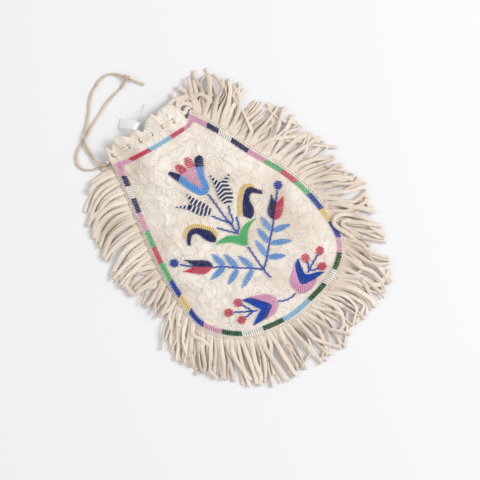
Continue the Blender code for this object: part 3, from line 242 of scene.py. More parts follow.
# Each of these is an outer, a shared and an inner curve, and the tip of the inner band
CURL_LEFT = (
    ((-13.2, -3.0), (-13.5, 5.5), (-18.5, 13.5), (-24.0, 19.4), (-31.0, 22.8), (-38.1, 21.4), (-43.2, 16.6)),
    ((-17.6, -4.2), (-17.6, 4.2), (-21.8, 11.0), (-26.5, 15.9), (-31.8, 18.6), (-37.3, 17.4), (-41.2, 13.9)),
    ((-20.6, -6.4), (-25.0, -2.6), (-27.6, 3.4), (-28.5, 8.0), (-30.6, 12.0), (-34.0, 13.2), (-37.4, 11.6),
     (-39.6, 9.5)),
    (-43.4, 7.2),
)
CURL_RIGHT = (
    ((13.2, 0.5), (17.6, 8.0), (24.0, 14.6), (30.5, 19.8), (36.5, 21.9), (41.5, 20.2), (44.8, 15.4)),
    ((17.0, -2.5), (21.6, 4.8), (27.2, 11.0), (32.4, 15.6), (36.9, 17.3), (40.6, 16.0), (43.2, 12.6)),
    ((21.4, -9.4), (26.6, -7.6), (30.4, -2.0), (30.8, 3.6), (33.0, 8.4), (36.6, 10.6), (39.6, 9.6),
     (41.2, 7.4)),
    (46.9, 4.6),
)
CALYX = (
    ((-21.4, -9.2), (-12.5, -13.2), (-6.4, -17.8), (-2.0, -24.0), (2.3, -28.4), (6.4, -23.8), (11.0, -18.4),
     (18.0, -14.2), (25.3, -12.6)),
    ((-21.0, -8.0), (-14.2, -7.4), (-8.0, -8.4), (-2.6, -11.6), (2.2, -15.6), (6.8, -12.6), (11.6, -10.6),
     (18.3, -10.3), (25.0, -11.4)),
)
# Each bud is a left side, a centre line, a right side, two tips, the stamen and its spot
BUD_LEFT = (
    ((-39.0, -24.8), (-46.5, -25.6), (-52.0, -22.8), (-56.8, -18.0)),
    ((-37.9, -24.0), (-45.0, -18.6), (-52.0, -13.0)),
    ((-36.8, -23.0), (-37.1, -17.9), (-41.2, -12.8), (-47.2, -8.4)),
    ((-63.8, -10.0), (-56.1, -1.1)),
    ((-52.0, -13.0), (-58.0, -7.2), (-62.4, -2.2)),
    (-66.0, 2.2),
)
BUD_RIGHT = (
    ((38.6, -22.6), (37.4, -17.9), (39.7, -12.5), (45.4, -8.4)),
    ((39.7, -23.3), (45.1, -18.1), (50.5, -12.5)),
    ((40.7, -24.2), (44.2, -26.4), (50.2, -23.9), (56.0, -18.6)),
    ((52.6, -2.6), (61.6, -10.9)),
    ((50.5, -12.5), (55.0, -7.6), (60.2, -2.4)),
    (63.7, 0.9),
)
# Each hanging flower is an outer, a shared and an inner curve, and the outer band's ends on the shared one
HANGING_LEFT = (
    ((-26.4, -70.6), (-17.7, -74.6), (-10.6, -79.2), (-6.5, -86.5), (-8.0, -94.2), (-15.0, -98.4),
     (-27.0, -99.2)),
    ((-34.8, -67.8), (-27.0, -71.2), (-20.7, -79.2), (-14.4, -89.4), (-19.2, -93.2), (-27.0, -96.9),
     (-41.0, -95.8)),
    ((-34.4, -69.0), (-31.4, -74.8), (-29.0, -80.4), (-25.6, -86.8), (-29.8, -88.8), (-34.6, -91.2),
     (-40.8, -94.8)),
    ((-27.0, -71.2), (-27.0, -96.9)),
)
HANGING_RIGHT = (
    ((26.1, -74.5), (20.6, -78.1), (15.3, -82.4), (12.6, -87.3), (13.2, -93.3), (15.1, -98.9), (21.4, -101.7),
     (30.1, -101.2), (38.6, -97.7)),
    ((34.5, -68.9), (27.6, -73.1), (24.4, -80.0), (21.4, -88.1), (22.6, -92.4), (28.0, -94.2), (36.6, -95.8),
     (47.0, -96.3)),
    ((34.6, -70.2), (33.7, -73.5), (31.2, -82.8), (31.8, -86.7), (34.5, -88.9), (42.5, -92.0), (47.0, -95.2)),
    ((27.6, -73.1), (36.6, -95.8)),
)
LINK = ((-7.2, -90.6), (-2.4, -94.0), (5.6, -96.2), (12.0, -95.4))
BERRY_RADIUS = 4.3 * MM
# The lines that hold the flowers: the main one, then the points of each shoot
UPPER_STEM = ((2.6, 36.4), (2.6, 22.5), (2.1, 10.5), (2.4, -0.5), (2.2, -14.2))
UPPER_SHOOTS = (
    ((2.3, 0.5), (-3.9, 10.2), (-7.5, 16.8)),
    ((2.3, -2.9), (7.3, 1.6), (8.5, 7.5), (12.0, 14.8)),
    ((2.2, -11.8), (-0.8, -9.2), (-10.6, 4.0)),
    ((2.2, -11.8), (5.8, -10.4), (9.5, -4.1), (11.4, 1.2)),
)
LOWER_STEM = ((2.3, -29.6), (0.9, -57.4), (1.8, -68.2))
LEFT_BRANCH = ((0.9, -57.4), (-6.4, -49.9), (-18.9, -39.8), (-29.7, -30.0), (-38.6, -24.4))
RIGHT_BRANCH = ((0.9, -57.4), (11.5, -49.2), (22.3, -39.0), (31.8, -31.0), (39.6, -23.4))
# A leaf is the foot on its branch and its tip
LEFT_LEAVES = (
    ((-6.0, -50.0), (-10.7, -31.1)), ((-6.0, -50.0), (-27.1, -58.6)), ((-18.1, -40.6), (-21.1, -21.2)),
    ((-18.1, -40.6), (-36.1, -47.8)), ((-27.6, -31.7), (-30.5, -13.5)), ((-27.6, -31.7), (-46.6, -33.1)),
)
RIGHT_LEAVES = (
    ((11.5, -49.8), (12.5, -29.1)), ((11.5, -49.8), (27.1, -59.6)), ((21.5, -40.0), (21.0, -21.1)),
    ((21.5, -40.0), (40.8, -51.3)), ((30.7, -32.2), (30.9, -13.9)), ((30.7, -32.2), (49.4, -37.6)),
)
# A cluster is its main line, which ends in a berry, and then two shoots that do the same
CLUSTER_LEFT = (
    ((-28.6, -85.9), (-34.1, -82.7), (-48.6, -72.8)), (-52.8, -70.1),
    (((-32.6, -83.7), (-35.0, -78.0), (-37.8, -71.6)), (-39.3, -67.9)),
    (((-32.6, -83.7), (-37.0, -84.2), (-42.8, -83.9)), (-46.9, -83.8)),
)
CLUSTER_RIGHT = (
    ((34.3, -86.3), (38.9, -84.0), (52.8, -78.2)), (56.8, -76.4),
    (((36.6, -85.2), (38.4, -81.6), (40.0, -77.4)), (40.9, -73.5)),
    (((36.6, -85.2), (39.6, -87.8), (45.2, -89.6)), (49.2, -90.2)),
)


def spot(point):
    """A point of the pattern, whose unit is a millimetre."""
    return Vector((point[0] * MM, point[1] * MM, 0.0))


def spots(points):
    return [spot(point) for point in points]


def route(points):
    """A cord's points with their heights."""
    return [Vector(point) * MM for point in points]


def left_of(ahead):
    """The direction to the left of another in plan."""
    return Vector((-ahead.y, ahead.x, 0.0))


def linear(code):
    """An sRGB hex colour as linear red, green, blue and alpha."""
    channels = [int(code[i:i + 2], 16) / 255.0 for i in (1, 3, 5)]
    return (*[c / 12.92 if c <= 0.04045 else ((c + 0.055) / 1.055) ** 2.4 for c in channels], 1.0)


def smooth_step(value):
    value = min(max(value, 0.0), 1.0)
    return value * value * (3.0 - 2.0 * value)


def smooth_curve(points, spans=8):
    """A Catmull-Rom curve through the points."""
    ends = [2.0 * points[0] - points[1]] + list(points) + [2.0 * points[-1] - points[-2]]
    curve = []
    for before, start, end, after in zip(ends, ends[1:], ends[2:], ends[3:]):
        for step in range(spans):
            t = step / spans
            curve.append(0.5 * (
                2.0 * start + (end - before) * t
                + (2.0 * before - 5.0 * start + 4.0 * end - after) * t ** 2
                + (3.0 * start - before - 3.0 * end + after) * t ** 3
            ))
    curve.append(points[-1].copy())
    return curve


class Line:
    """A curve that can be read at any distance along it."""

    def __init__(self, points):
        self.points = points
        self.along = [0.0]
        for start, end in zip(points, points[1:]):
            self.along.append(self.along[-1] + (end - start).length)
        self.length = self.along[-1]

    def at(self, distance):
        distance = min(max(distance, 0.0), self.length)
        index = min(max(bisect.bisect_left(self.along, distance), 1), len(self.along) - 1)
        span = self.along[index] - self.along[index - 1]
        share = (distance - self.along[index - 1]) / span if span > 0.0 else 0.0
        return self.points[index - 1].lerp(self.points[index], share)

    def share(self, share):
        return self.at(share * self.length)

    def direction(self, distance, reach=0.5 * MM):
        return (self.at(distance + reach) - self.at(distance - reach)).normalized()

    def part(self, first, last, count):
        return [self.at(first + (last - first) * step / (count - 1)) for step in range(count)]

    def nearest(self, point):
        index = min(range(len(self.points)), key=lambda i: (self.points[i] - point).length)
        return self.along[index]

    def offset(self, amount):
        """The same line moved to its right in plan."""
        moved = []
        for distance, point in zip(self.along, self.points):
            ahead = self.direction(distance)
            moved.append(point + Vector((ahead.y, -ahead.x, 0.0)).normalized() * amount)
        return Line(moved)


def interpolate(table, value):
    """The second column of the table at a value of its first, eased between the rows."""
    for (low, before), (high, after) in zip(table, table[1:]):
        if value <= high:
            return before + (after - before) * smooth_step((value - low) / (high - low))
    return table[-1][1]


def seam_line():
    edge = Line(smooth_curve(spots(LANE_EDGE))).offset(SEAM_MARGIN)
    return Line(edge.part(0.0, edge.length, 320))


def seam_rise(place):
    """How much higher the fringe's strip lies at a place of the seam than at the bottom."""
    return SEAM_RISE * smooth_step((place.y - RISE_START) / RISE_LENGTH)


def target_of(made):
    """A ray target of an object as it is shown."""
    bpy.context.view_layer.update()
    return BVHTree.FromObject(made, bpy.context.evaluated_depsgraph_get())


def top_of(tree, point):
    hit = tree.ray_cast(Vector((point.x, point.y, 1.0)), Vector((0.0, 0.0, -1.0)))[0]
    return hit.z if hit else None


def under_of(tree, point):
    hit = tree.ray_cast(Vector((point.x, point.y, -1.0)), Vector((0.0, 0.0, 1.0)))[0]
    return hit.z if hit else None


def nearby_height(tree, point, over):
    """The surface's height at a point, or beside it where the point lies off its edge."""
    height = top_of(tree, point) if over else under_of(tree, point)
    if height is None:
        height = tree.find_nearest(Vector((point.x, point.y, 8.0 * MM)))[0].z
    return height


# Materials


def add_node(tree, kind, inputs=(), **settings):
    """Adds a node with its settings, and gives each named or numbered input its value or its link."""
    node = tree.nodes.new(kind)
    for key, value in settings.items():
        setattr(node, key, value)
    for key, value in dict(inputs).items():
        if isinstance(value, bpy.types.NodeSocket):
            tree.links.new(value, node.inputs[key])
        else:
            node.inputs[key].default_value = value
    return node


def waves(size):
    """The scale of a noise whose spots are a size in millimetres."""
    return 1.0 / (size * MM)


def new_material(name):
    """An empty material with its Principled shader and Object coordinates."""
    made = bpy.data.materials.new(name)
    made.use_nodes = True
    tree = made.node_tree
    shader = tree.nodes["Principled BSDF"]
    place = add_node(tree, "ShaderNodeTexCoord").outputs["Object"]
    return made, tree, shader, place


def tanned_hide(name, pale, dark, crumple):
    """Brain-tanned hide with its flesh side smoked off white.

    It is matt and a little fuzzy, soiled in broad clouds, and has painted shade along its crease lines.
    """
    made, tree, shader, place = new_material(name)
    clouds = add_node(
        tree, "ShaderNodeTexNoise", {"Vector": place, "Scale": waves(38.46), "Detail": 4.0}
    ).outputs["Fac"]
    mottle = add_node(
        tree, "ShaderNodeTexNoise", {"Vector": place, "Scale": waves(7.143), "Detail": 5.0}
    ).outputs["Fac"]
    # two crooked creases to each wave, so they lie 6 to 7 mm apart
    creases = add_node(
        tree, "ShaderNodeTexNoise",
        {"Vector": place, "Scale": waves(13.333), "Detail": 3.0, "Roughness": 0.6, "Distortion": 0.8},
    ).outputs["Fac"]
    # distance from the middle value gives thin crooked lines, which dent the bump and carry painted shade
    line = add_node(tree, "ShaderNodeMath", {0: creases, 1: 0.5}, operation="SUBTRACT").outputs[0]
    line = add_node(tree, "ShaderNodeMath", {0: line}, operation="ABSOLUTE").outputs[0]
    line = add_node(
        tree, "ShaderNodeMapRange",
        {"Value": line, "From Min": 0.0, "From Max": 0.05, "To Min": 1.0, "To Max": 0.0},
    ).outputs[0]
    # suede nap, drawn a little coarser than it is
    nap = add_node(
        tree, "ShaderNodeTexNoise", {"Vector": place, "Scale": waves(0.4545), "Detail": 3.0}
    ).outputs["Fac"]
    soil = add_node(
        tree, "ShaderNodeMapRange", {"Value": clouds, "From Min": 0.38, "From Max": 0.72, "To Max": 0.75}
    ).outputs[0]
    speck = add_node(
        tree, "ShaderNodeMapRange", {"Value": mottle, "From Min": 0.42, "From Max": 0.75, "To Max": 0.55}
    ).outputs[0]
    soil_and_painted_shade = add_node(tree, "ShaderNodeMath", {0: soil, 1: speck}, operation="MAXIMUM").outputs[0]
    # painted shade: the thin crease lines darken the colour, more as the crumple grows
    faint = add_node(tree, "ShaderNodeMath", {0: line, 1: 0.34 * crumple}, operation="MULTIPLY").outputs[0]
    soil_and_painted_shade = add_node(tree, "ShaderNodeMath", {0: soil_and_painted_shade, 1: faint}, operation="MAXIMUM").outputs[0]
    colour = add_node(
        tree, "ShaderNodeMix", {0: soil_and_painted_shade, 6: pale, 7: linear(dark)}, data_type="RGBA"
    ).outputs[2]
    tree.links.new(colour, shader.inputs["Base Color"])
    shader.inputs["Roughness"].default_value = 0.9
    shader.inputs["Specular IOR Level"].default_value = 0.25
    shader.inputs["Sheen Weight"].default_value = 0.12
    shader.inputs["Sheen Roughness"].default_value = 0.5
    dent = add_node(tree, "ShaderNodeMath", {0: line, 1: -0.6 * crumple}, operation="MULTIPLY").outputs[0]
    relief = add_node(tree, "ShaderNodeMath", {0: mottle, 1: dent}, operation="ADD").outputs[0]
    folds = add_node(
        tree, "ShaderNodeBump", {"Height": relief, "Strength": 0.8, "Distance": 0.9 * MM}
    ).outputs["Normal"]
    fuzz = add_node(
        tree, "ShaderNodeBump", {"Height": nap, "Strength": 0.35, "Distance": 0.12 * MM, "Normal": folds}
    ).outputs["Normal"]
    tree.links.new(fuzz, shader.inputs["Normal"])
    return made


def bead_glass(name, full):
    """Opaque seed bead glass, fire polished: strong colour with one small highlight on each bead."""
    made, tree, shader, place = new_material(name)
    # the dye differs a little from bead to bead
    dye = add_node(
        tree, "ShaderNodeTexNoise", {"Vector": place, "Scale": waves(1.613), "Detail": 1.0}
    ).outputs["Fac"]
    share = add_node(tree, "ShaderNodeMapRange", {"Value": dye, "From Min": 0.3, "From Max": 0.7}).outputs[0]
    deep = (*[channel * 0.84 for channel in full[:3]], 1.0)
    colour = add_node(tree, "ShaderNodeMix", {0: share, 6: deep, 7: full}, data_type="RGBA").outputs[2]
    tree.links.new(colour, shader.inputs["Base Color"])
    shader.inputs["Roughness"].default_value = 0.22
    shader.inputs["IOR"].default_value = 1.52
    return made


def sinew_thread(name, code, fibre):
    """Twisted thread, matt, with fine fibres whose size is in millimetres."""
    made, tree, shader, place = new_material(name)
    strands = add_node(
        tree, "ShaderNodeTexNoise", {"Vector": place, "Scale": waves(fibre), "Detail": 2.0}
    ).outputs["Fac"]
    full = linear(code)
    deep = (*[channel * 0.7 for channel in full[:3]], 1.0)
    colour = add_node(tree, "ShaderNodeMix", {0: strands, 6: deep, 7: full}, data_type="RGBA").outputs[2]
    tree.links.new(colour, shader.inputs["Base Color"])
    shader.inputs["Roughness"].default_value = 0.75
    bump = add_node(
        tree, "ShaderNodeBump", {"Height": strands, "Strength": 0.4, "Distance": 0.1 * MM}
    ).outputs["Normal"]
    tree.links.new(bump, shader.inputs["Normal"])
    return made


def tag_paper(name):
    """Uncoated white tag card with faint fibres."""
    made, tree, shader, place = new_material(name)
    fibre = add_node(
        tree, "ShaderNodeTexNoise", {"Vector": place, "Scale": waves(1.111), "Detail": 4.0}
    ).outputs["Fac"]
    colour = add_node(
        tree, "ShaderNodeMix", {0: fibre, 6: linear("#FFFFFF"), 7: linear("#F7F7F4")}, data_type="RGBA"
    ).outputs[2]
    tree.links.new(colour, shader.inputs["Base Color"])
    shader.inputs["Roughness"].default_value = 0.8
    bump = add_node(
        tree, "ShaderNodeBump", {"Height": fibre, "Strength": 0.15, "Distance": 0.05 * MM}
    ).outputs["Normal"]
    tree.links.new(bump, shader.inputs["Normal"])
    return made


def material(name, maker, *arguments):
    """A material that is made once and then shared."""
    return bpy.data.materials.get(name) or maker(name, *arguments)


def panel_hide():
    return material("tanned_hide", tanned_hide, tuple(settings().hide_colour), "#CFBFAC", 1.0)


def fringe_hide():
    return material("cut_hide", tanned_hide, tuple(settings().fringe_colour), "#CEBDA9", 0.4)


def thong_hide():
    return material("handled_hide", tanned_hide, linear("#DDCBB3"), "#B39E84", 0.3)


def lace_hide():
    return material("laced_hide", tanned_hide, linear("#EFE4D6"), "#CDBBA6", 0.4)


def glass(colour):
    return material(f"seed_bead_{colour}", bead_glass, tuple(getattr(bpy.context.scene.bead_colours, colour)))


# Making pieces


def settings():
    return bpy.context.scene.bag_looks


def finish_piece(name, bm, materials, nodes, thickness=0.0):
    """Turns a bmesh into a piece that rides on the bag and stands for its plain solids."""
    for face in bm.faces:
        face.smooth = True
    mesh = bpy.data.meshes.new(name)
    bm.to_mesh(mesh)
    bm.free()
    for each in materials:
        mesh.materials.append(each)
    piece = bpy.data.objects.new(name, mesh)
    bpy.context.scene.collection.objects.link(piece)
    if thickness:
        solid = piece.modifiers.new("thickness", "SOLIDIFY")
        solid.thickness = thickness
        solid.offset = -1.0
    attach(piece, "root")
    if nodes:
        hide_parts(*nodes)
    return piece


def panel_places(seam, collar, rows, collar_rows):
    """A function from a share across and a share along to a point in plan, blended from the edges."""
    left = Line(seam.part(seam.length * LOWER_LEFT, 0.0, 200))
    right = Line(seam.part(seam.length * LOWER_RIGHT, seam.length, 200))
    bottom = Line(seam.part(seam.length * LOWER_LEFT, seam.length * LOWER_RIGHT, 120))
    mouth = Line(smooth_curve([seam.points[0]] + spots(MOUTH_EDGE)[-2:0:-1] + [seam.points[-1]]))
    body = rows / (rows + collar_rows)

    def place(u, v):
        along = min(v / body, 1.0)
        low, high = bottom.share(u), mouth.share(u)
        across = left.share(along).lerp(right.share(along), u)
        low_corner = left.points[0].lerp(right.points[0], u)
        high_corner = left.points[-1].lerp(right.points[-1], u)
        point = low.lerp(high, along) + across - low_corner.lerp(high_corner, along)
        if v > body:
            point.y += interpolate(collar, u) * MM * (v - body) / (1.0 - body)
        return point

    return place


def crumple(point, amount):
    """Creases of worn hide: long soft folds near the mouth, crooked ridges of three sizes and a slow swell.

    Noise is read at points in metres, so a factor of 62 gives ridges about 16 mm apart.
    """
    warped = point + noise.noise_vector(point * 45.0) * 0.012
    slanted = Vector((warped.x * 88.0 + warped.y * 18.0, warped.y * 24.0, 0.4))
    folds = max(1.0 - 2.6 * abs(noise.noise(slanted)), 0.0) ** 1.5
    large = max(1.0 - 2.3 * abs(noise.noise(warped * 62.0 + Vector((3.0, 1.0, 7.0)))), 0.0) ** 2
    small = max(1.0 - 2.3 * abs(noise.noise(warped * 140.0 + Vector((9.0, 4.0, 2.0)))), 0.0) ** 2
    fine = max(1.0 - 2.3 * abs(noise.noise(warped * 290.0 + Vector((5.0, 8.0, 1.0)))), 0.0) ** 2
    patch = 0.5 + 0.8 * smooth_step(0.5 + noise.noise(point * 22.0))
    near_mouth = smooth_step((point.y - 5.0 * MM) / (80.0 * MM))
    swell = noise.noise(point * 18.0)
    ridges = patch * (0.7 * large + 0.36 * small + 0.14 * fine)
    return amount * (ridges + 0.85 * near_mouth * folds + 0.5 * swell)


def hide_panel(node, seam, collar, columns, rows, collar_rows, amount):
    """An open surface over the node's top, with the creases that the plain solid leaves out."""
    place = panel_places(seam, collar, rows, collar_rows)
    target = target_of(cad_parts[node])
    bm = bmesh.new()
    bmesh.ops.create_grid(bm, x_segments=columns, y_segments=rows + collar_rows, size=0.5)
    edge = {}
    for vertex in bm.verts:
        across, along = vertex.co.x + 0.5, vertex.co.y + 0.5
        point = place(across, along)
        vertex.co = Vector((point.x, point.y, nearby_height(target, point, True)))
        edge[vertex] = smooth_step(0.2 + 22.0 * min(across, 1.0 - across, along))
    # noise vectors start from the clock unless they are given a seed
    noise.seed_set(CREASE_SEED)
    flat = [vertex for vertex in bm.verts if not vertex.is_boundary]
    for _ in range(6):
        bmesh.ops.smooth_vert(bm, verts=flat, factor=0.5, use_axis_z=True)
    for vertex in bm.verts:
        vertex.co.z = max(vertex.co.z + crumple(vertex.co, amount) * edge[vertex], HIDE + 0.1 * MM)
    return bm


def gather(whole, part):
    """Adds a small bmesh to a large one. Each operator then works on a small mesh, which is much quicker."""
    mesh = bpy.data.meshes.new("part")
    part.to_mesh(mesh)
    part.free()
    whole.from_mesh(mesh)
    bpy.data.meshes.remove(mesh)


def hide_strip(whole, centres, acrosses, width, thickness, taper=1.0):
    """A closed flat strip of hide with rounded edges along a path."""
    ring = (
        (1.0, -0.4), (1.0, 0.4), (0.85, 1.0), (-0.85, 1.0),
        (-1.0, 0.4), (-1.0, -0.4), (-0.85, -1.0), (0.85, -1.0),
    )
    sides, stations = len(ring), len(centres) - 1
    bm = bmesh.new()
    bmesh.ops.create_grid(bm, x_segments=stations, y_segments=sides, size=0.5)
    for vertex in bm.verts:
        station = round((vertex.co.x + 0.5) * stations)
        across, up = ring[round((vertex.co.y + 0.5) * sides) % sides]
        ahead = centres[min(station + 1, stations)] - centres[max(station - 1, 0)]
        side = acrosses[station]
        lift = side.cross(ahead).normalized()
        if lift.z < 0.0 and abs(side.z) < 0.7:
            lift = -lift
        half = 0.5 * width * (1.0 + (taper - 1.0) * station / stations)
        vertex.co = centres[station] + side * across * half + lift * up * 0.5 * thickness
    bmesh.ops.remove_doubles(bm, verts=bm.verts[:], dist=0.00001)
    bmesh.ops.holes_fill(bm, edges=[edge for edge in bm.edges if edge.is_boundary], sides=sides)
    bmesh.ops.recalc_face_normals(bm, faces=bm.faces[:])
    gather(whole, bm)


def bead_template(index):
    """One seed bead, a rounded barrel with its hole along Z, in the colour of a material slot."""
    bm = bmesh.new()
    bmesh.ops.create_uvsphere(bm, u_segments=8, v_segments=5, radius=1.0)
    for face in bm.faces:
        face.material_index = index
        face.smooth = True
    mesh = bpy.data.meshes.new("bead")
    bm.to_mesh(mesh)
    bm.free()
    return mesh


def add_bead(bm, template, centre, direction, radius, length):
    """Puts a bead in its place with its hole along the thread."""
    turn = direction.to_track_quat("Z", "Y").to_matrix().to_4x4()
    place = Matrix.Translation(centre) @ turn @ Matrix.Diagonal((radius, radius, 0.5 * length, 1.0))
    template.transform(place)
    bm.from_mesh(template)
    template.transform(place.inverted())


class BeadSheet:
    """Bead rows of one piece, laid on the hide."""

    def __init__(self, hide, colours, seed):
        self.bm = bmesh.new()
        self.hide = hide
        self.templates = {colour: bead_template(index) for index, colour in enumerate(colours)}
        self.draw = random.Random(seed)
        self.radius = 0.5 * settings().bead_diameter
        self.length = settings().bead_length
        self.pitch = settings().row_pitch

    def string(self, start, end, colour, rise=0.9, share=1.0):
        """One row of beads from one point in plan to another, share of the full diameter wide."""
        count = max(1, round((end - start).length / self.length))
        step = (end - start) / count
        size = step.length * 1.04
        share *= 1.0 if colour in FULL_BEADS else FINER
        for number in range(count):
            place = start + step * (number + 0.5)
            place += Vector((self.draw.uniform(-1.0, 1.0), self.draw.uniform(-1.0, 1.0), 0.0)) * 0.05 * MM
            bow = 0.16 * MM * math.sin(math.pi * (number + 0.5) / count)
            place.z = nearby_height(self.hide, place, True) + self.radius * rise + bow
            radius = share * self.radius * self.draw.uniform(0.94, 1.05)
            tilt = step.normalized() + Vector((0.0, 0.0, self.draw.uniform(-0.06, 0.06)))
            add_bead(self.bm, self.templates[colour], place, tilt, radius, size)

    def rows(self, first, second, colour_of):
        """Rows across a shape given by two lines. The colour may be a function of the row and the count."""
        wide, narrow = max(first.length, second.length), min(first.length, second.length)
        count = max(1, round((0.75 * wide + 0.25 * narrow) / (0.94 * self.pitch)))
        for row in range(count):
            share = (row + 0.5) / count
            start, end = first.share(share), second.share(share)
            if (end - start).length < 0.5 * self.length:
                middle = 0.5 * (start + end)
                way = (end - start).normalized() if (end - start).length > 0.0 else Vector((1.0, 0.0, 0.0))
                start, end = middle - way * 0.5 * self.length, middle + way * 0.5 * self.length
            colour = colour_of if isinstance(colour_of, str) else colour_of(row, count)
            self.string(start, end, colour)

    def line(self, points, colour):
        """Beads along a curved line, which sit a little to and fro as on a lazy stitch."""
        path = Line(smooth_curve(spots(points)))
        count = max(1, round(path.length / (2.0 * self.length)))
        for number in range(count):
            start, end = path.share(number / count), path.share((number + 1) / count)
            aside = (end - start).cross(Vector((0.0, 0.0, 1.0))).normalized() * 0.5 * MM
            if number % 2:
                aside = -aside
            self.string(start + aside, end - aside, colour, rise=0.75, share=0.86)

    def prong(self, left, right, tip, colour_of, blunt=0.0):
        """Rows that go on from the end of a band and taper to its tip, blunt of its width there."""
        end, half = spot(tip), 0.5 * blunt * (left - right)
        self.rows(Line([left, end + half]), Line([right, end - half]), colour_of)

    def petal(self, left, right, body, lobe, lobe_rows):
        """Rows across a petal with a rounded tip of another colour."""
        first, second = lay_curves((left, right))
        count = round(max(first.length, second.length) / self.pitch)
        for row in range(count):
            share = (row + 0.5) / count
            start, end = first.share(share), second.share(share)
            left_over = count - row
            inset = {1: 0.2, 2: 0.06}.get(left_over, 0.0)
            colour = lobe if left_over <= lobe_rows else body
            self.string(start.lerp(end, inset), end.lerp(start, inset), colour)

    def disc(self, centre, radius, toward, colour):
        """Rows across a round spot."""
        middle = spot(centre)
        axis = (middle - spot(toward)).normalized()
        side = left_of(axis)
        count = max(3, round(2.0 * radius / self.pitch))
        for row in range(count):
            t = (row + 0.5) * 2.0 / count - 1.0
            half = radius * math.sqrt(max(1.0 - t * t, 0.12))
            here = middle + axis * radius * t
            self.string(here + side * half, here - side * half, colour)


def alternate(first, second):
    """Rows of two colours by turns."""
    return lambda row, count: first if row % 2 == 0 else second


def lay_lane(sheet):
    """The lane of bead rows: round the sides and the bottom, then along the mouth."""
    side, mouth = Line(smooth_curve(spots(LANE_EDGE))), Line(smooth_curve(spots(MOUTH_EDGE)))
    inner_side, inner_mouth = side.offset(-LANE_WIDTH), mouth.offset(-TOP_LANE_WIDTH)
    # the inner lines stop short of the corners, where the two lanes meet
    inner_side = Line(inner_side.part(0.6 * TOP_LANE_WIDTH, inner_side.length - 0.6 * TOP_LANE_WIDTH, 400))
    inner_mouth = Line(inner_mouth.part(0.9 * LANE_WIDTH, inner_mouth.length - 0.9 * LANE_WIDTH, 100))
    total = side.length + mouth.length
    unit = total / sum(length for _, length in BLOCKS)
    marks, start = [], -CORNER_BLOCK_TOP * unit
    for colour, length in BLOCKS:
        marks.append((start + length * unit, colour))
        start += length * unit
    for outer, inner, offset in ((side, inner_side, 0.0), (mouth, inner_mouth, side.length)):
        count = round(outer.length / sheet.pitch)
        for row in range(count):
            share = (row + 0.5) / count
            where = offset + share * outer.length
            colour = next((colour for end, colour in marks if where < end), BLOCKS[0][0])
            lean = sheet.draw.uniform(-0.1, 0.1) * MM
            sheet.string(outer.at(share * outer.length + lean), inner.share(share), colour)


def lay_curves(curves):
    return [Line(smooth_curve(spots(curve))) for curve in curves]


def lay_parted(sheet, left, centre, right, tips, first, second):
    """Two halves that share a centre line and part into two tips, each half with its own colour."""
    lines = lay_curves((left, centre, right))
    sheet.rows(lines[0], lines[1], first)
    sheet.rows(lines[1], lines[2], second)
    sheet.prong(lines[0].points[-1], lines[1].points[-1], tips[0], first)
    sheet.prong(lines[1].points[-1], lines[2].points[-1], tips[1], second)


def lay_bud(sheet, colours, left, centre, right, tips, stamen, dot):
    """A bud of two colours, with the line out of it and the spot at its end."""
    lay_parted(sheet, left, centre, right, tips, *colours)
    sheet.line(stamen, "royal")
    sheet.disc(dot, BERRY_RADIUS, stamen[-1], "royal")


def lay_hanging(sheet, outer, shared, inner, ends):
    """A pink crescent round a royal blue one."""
    rim, line, inside = lay_curves((outer, shared, inner))
    sheet.rows(line, inside, "royal")
    first, last = (line.nearest(spot(end)) for end in ends)
    sheet.rows(rim, Line(line.part(first, last, 60)), "pink")


def lay_cluster(sheet, line, dot, *shoots):
    """Three berries, each at the end of its line."""
    for points, centre in ((line, dot),) + shoots:
        sheet.line(points, "royal")
        sheet.disc(centre, BERRY_RADIUS, points[-1], "red")


def lay_leaf(sheet, foot, tip):
    """A pointed leaf of rows across its length."""
    start, end = spot(foot), spot(tip)
    axis = end - start
    side = left_of(axis).normalized()
    count = max(3, round(0.92 * axis.length / sheet.pitch))
    for row in range(count):
        t = 0.08 + 0.92 * (row + 0.5) / count
        half = 0.5 * settings().leaf_width * math.sin(math.pi * (0.1 + 0.86 * t)) ** 0.85
        here = start + axis * t
        sheet.string(here + side * half, here - side * half, "blue")


def lay_spray(sheet):
    """The flower spray and the two hanging flowers."""
    def outer_rows(row, count):
        return "navy" if row < NAVY_ROWS or row >= count - NAVY_ROWS else "blue"

    sheet.rows(*lay_curves(OUTER_PETALS), outer_rows)
    for left, right in INNER_PETALS:
        sheet.petal(left, right, "pink", "red", RED_ROWS)
    for bell in (BELL_LEFT, BELL_RIGHT):
        lay_parted(sheet, *bell, alternate("navy", "white"), alternate("navy", "white"))
    for outer, shared, inner, tip in (CURL_LEFT, CURL_RIGHT):
        lines = lay_curves((outer, shared, inner))
        sheet.rows(lines[0], lines[1], "yellow")
        sheet.rows(lines[1], lines[2], "navy")
        sheet.prong(lines[1].points[-1], lines[2].points[-1], tip, "navy", 0.7)
    sheet.rows(*lay_curves(CALYX), "green")
    for points in (UPPER_STEM, LOWER_STEM, LEFT_BRANCH, RIGHT_BRANCH, LINK) + UPPER_SHOOTS:
        sheet.line(points, "royal")
    for foot, tip in LEFT_LEAVES + RIGHT_LEAVES:
        lay_leaf(sheet, foot, tip)
    lay_bud(sheet, ("red", "navy"), *BUD_LEFT)
    lay_bud(sheet, ("navy", "red"), *BUD_RIGHT)
    lay_hanging(sheet, *HANGING_LEFT)
    lay_hanging(sheet, *HANGING_RIGHT)
    lay_cluster(sheet, *CLUSTER_LEFT)
    lay_cluster(sheet, *CLUSTER_RIGHT)


def bead_nodes(lane):
    """The plain bead patches of the lane, or those of the flowers."""
    names = [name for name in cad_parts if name.startswith("lane_")]
    if lane:
        return names
    plain = ("front_panel", "back_panel", "fringe", "paper_tag", "tag_thread")
    return [
        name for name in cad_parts
        if name not in names and name not in plain and not name.startswith("drawstring")
    ]


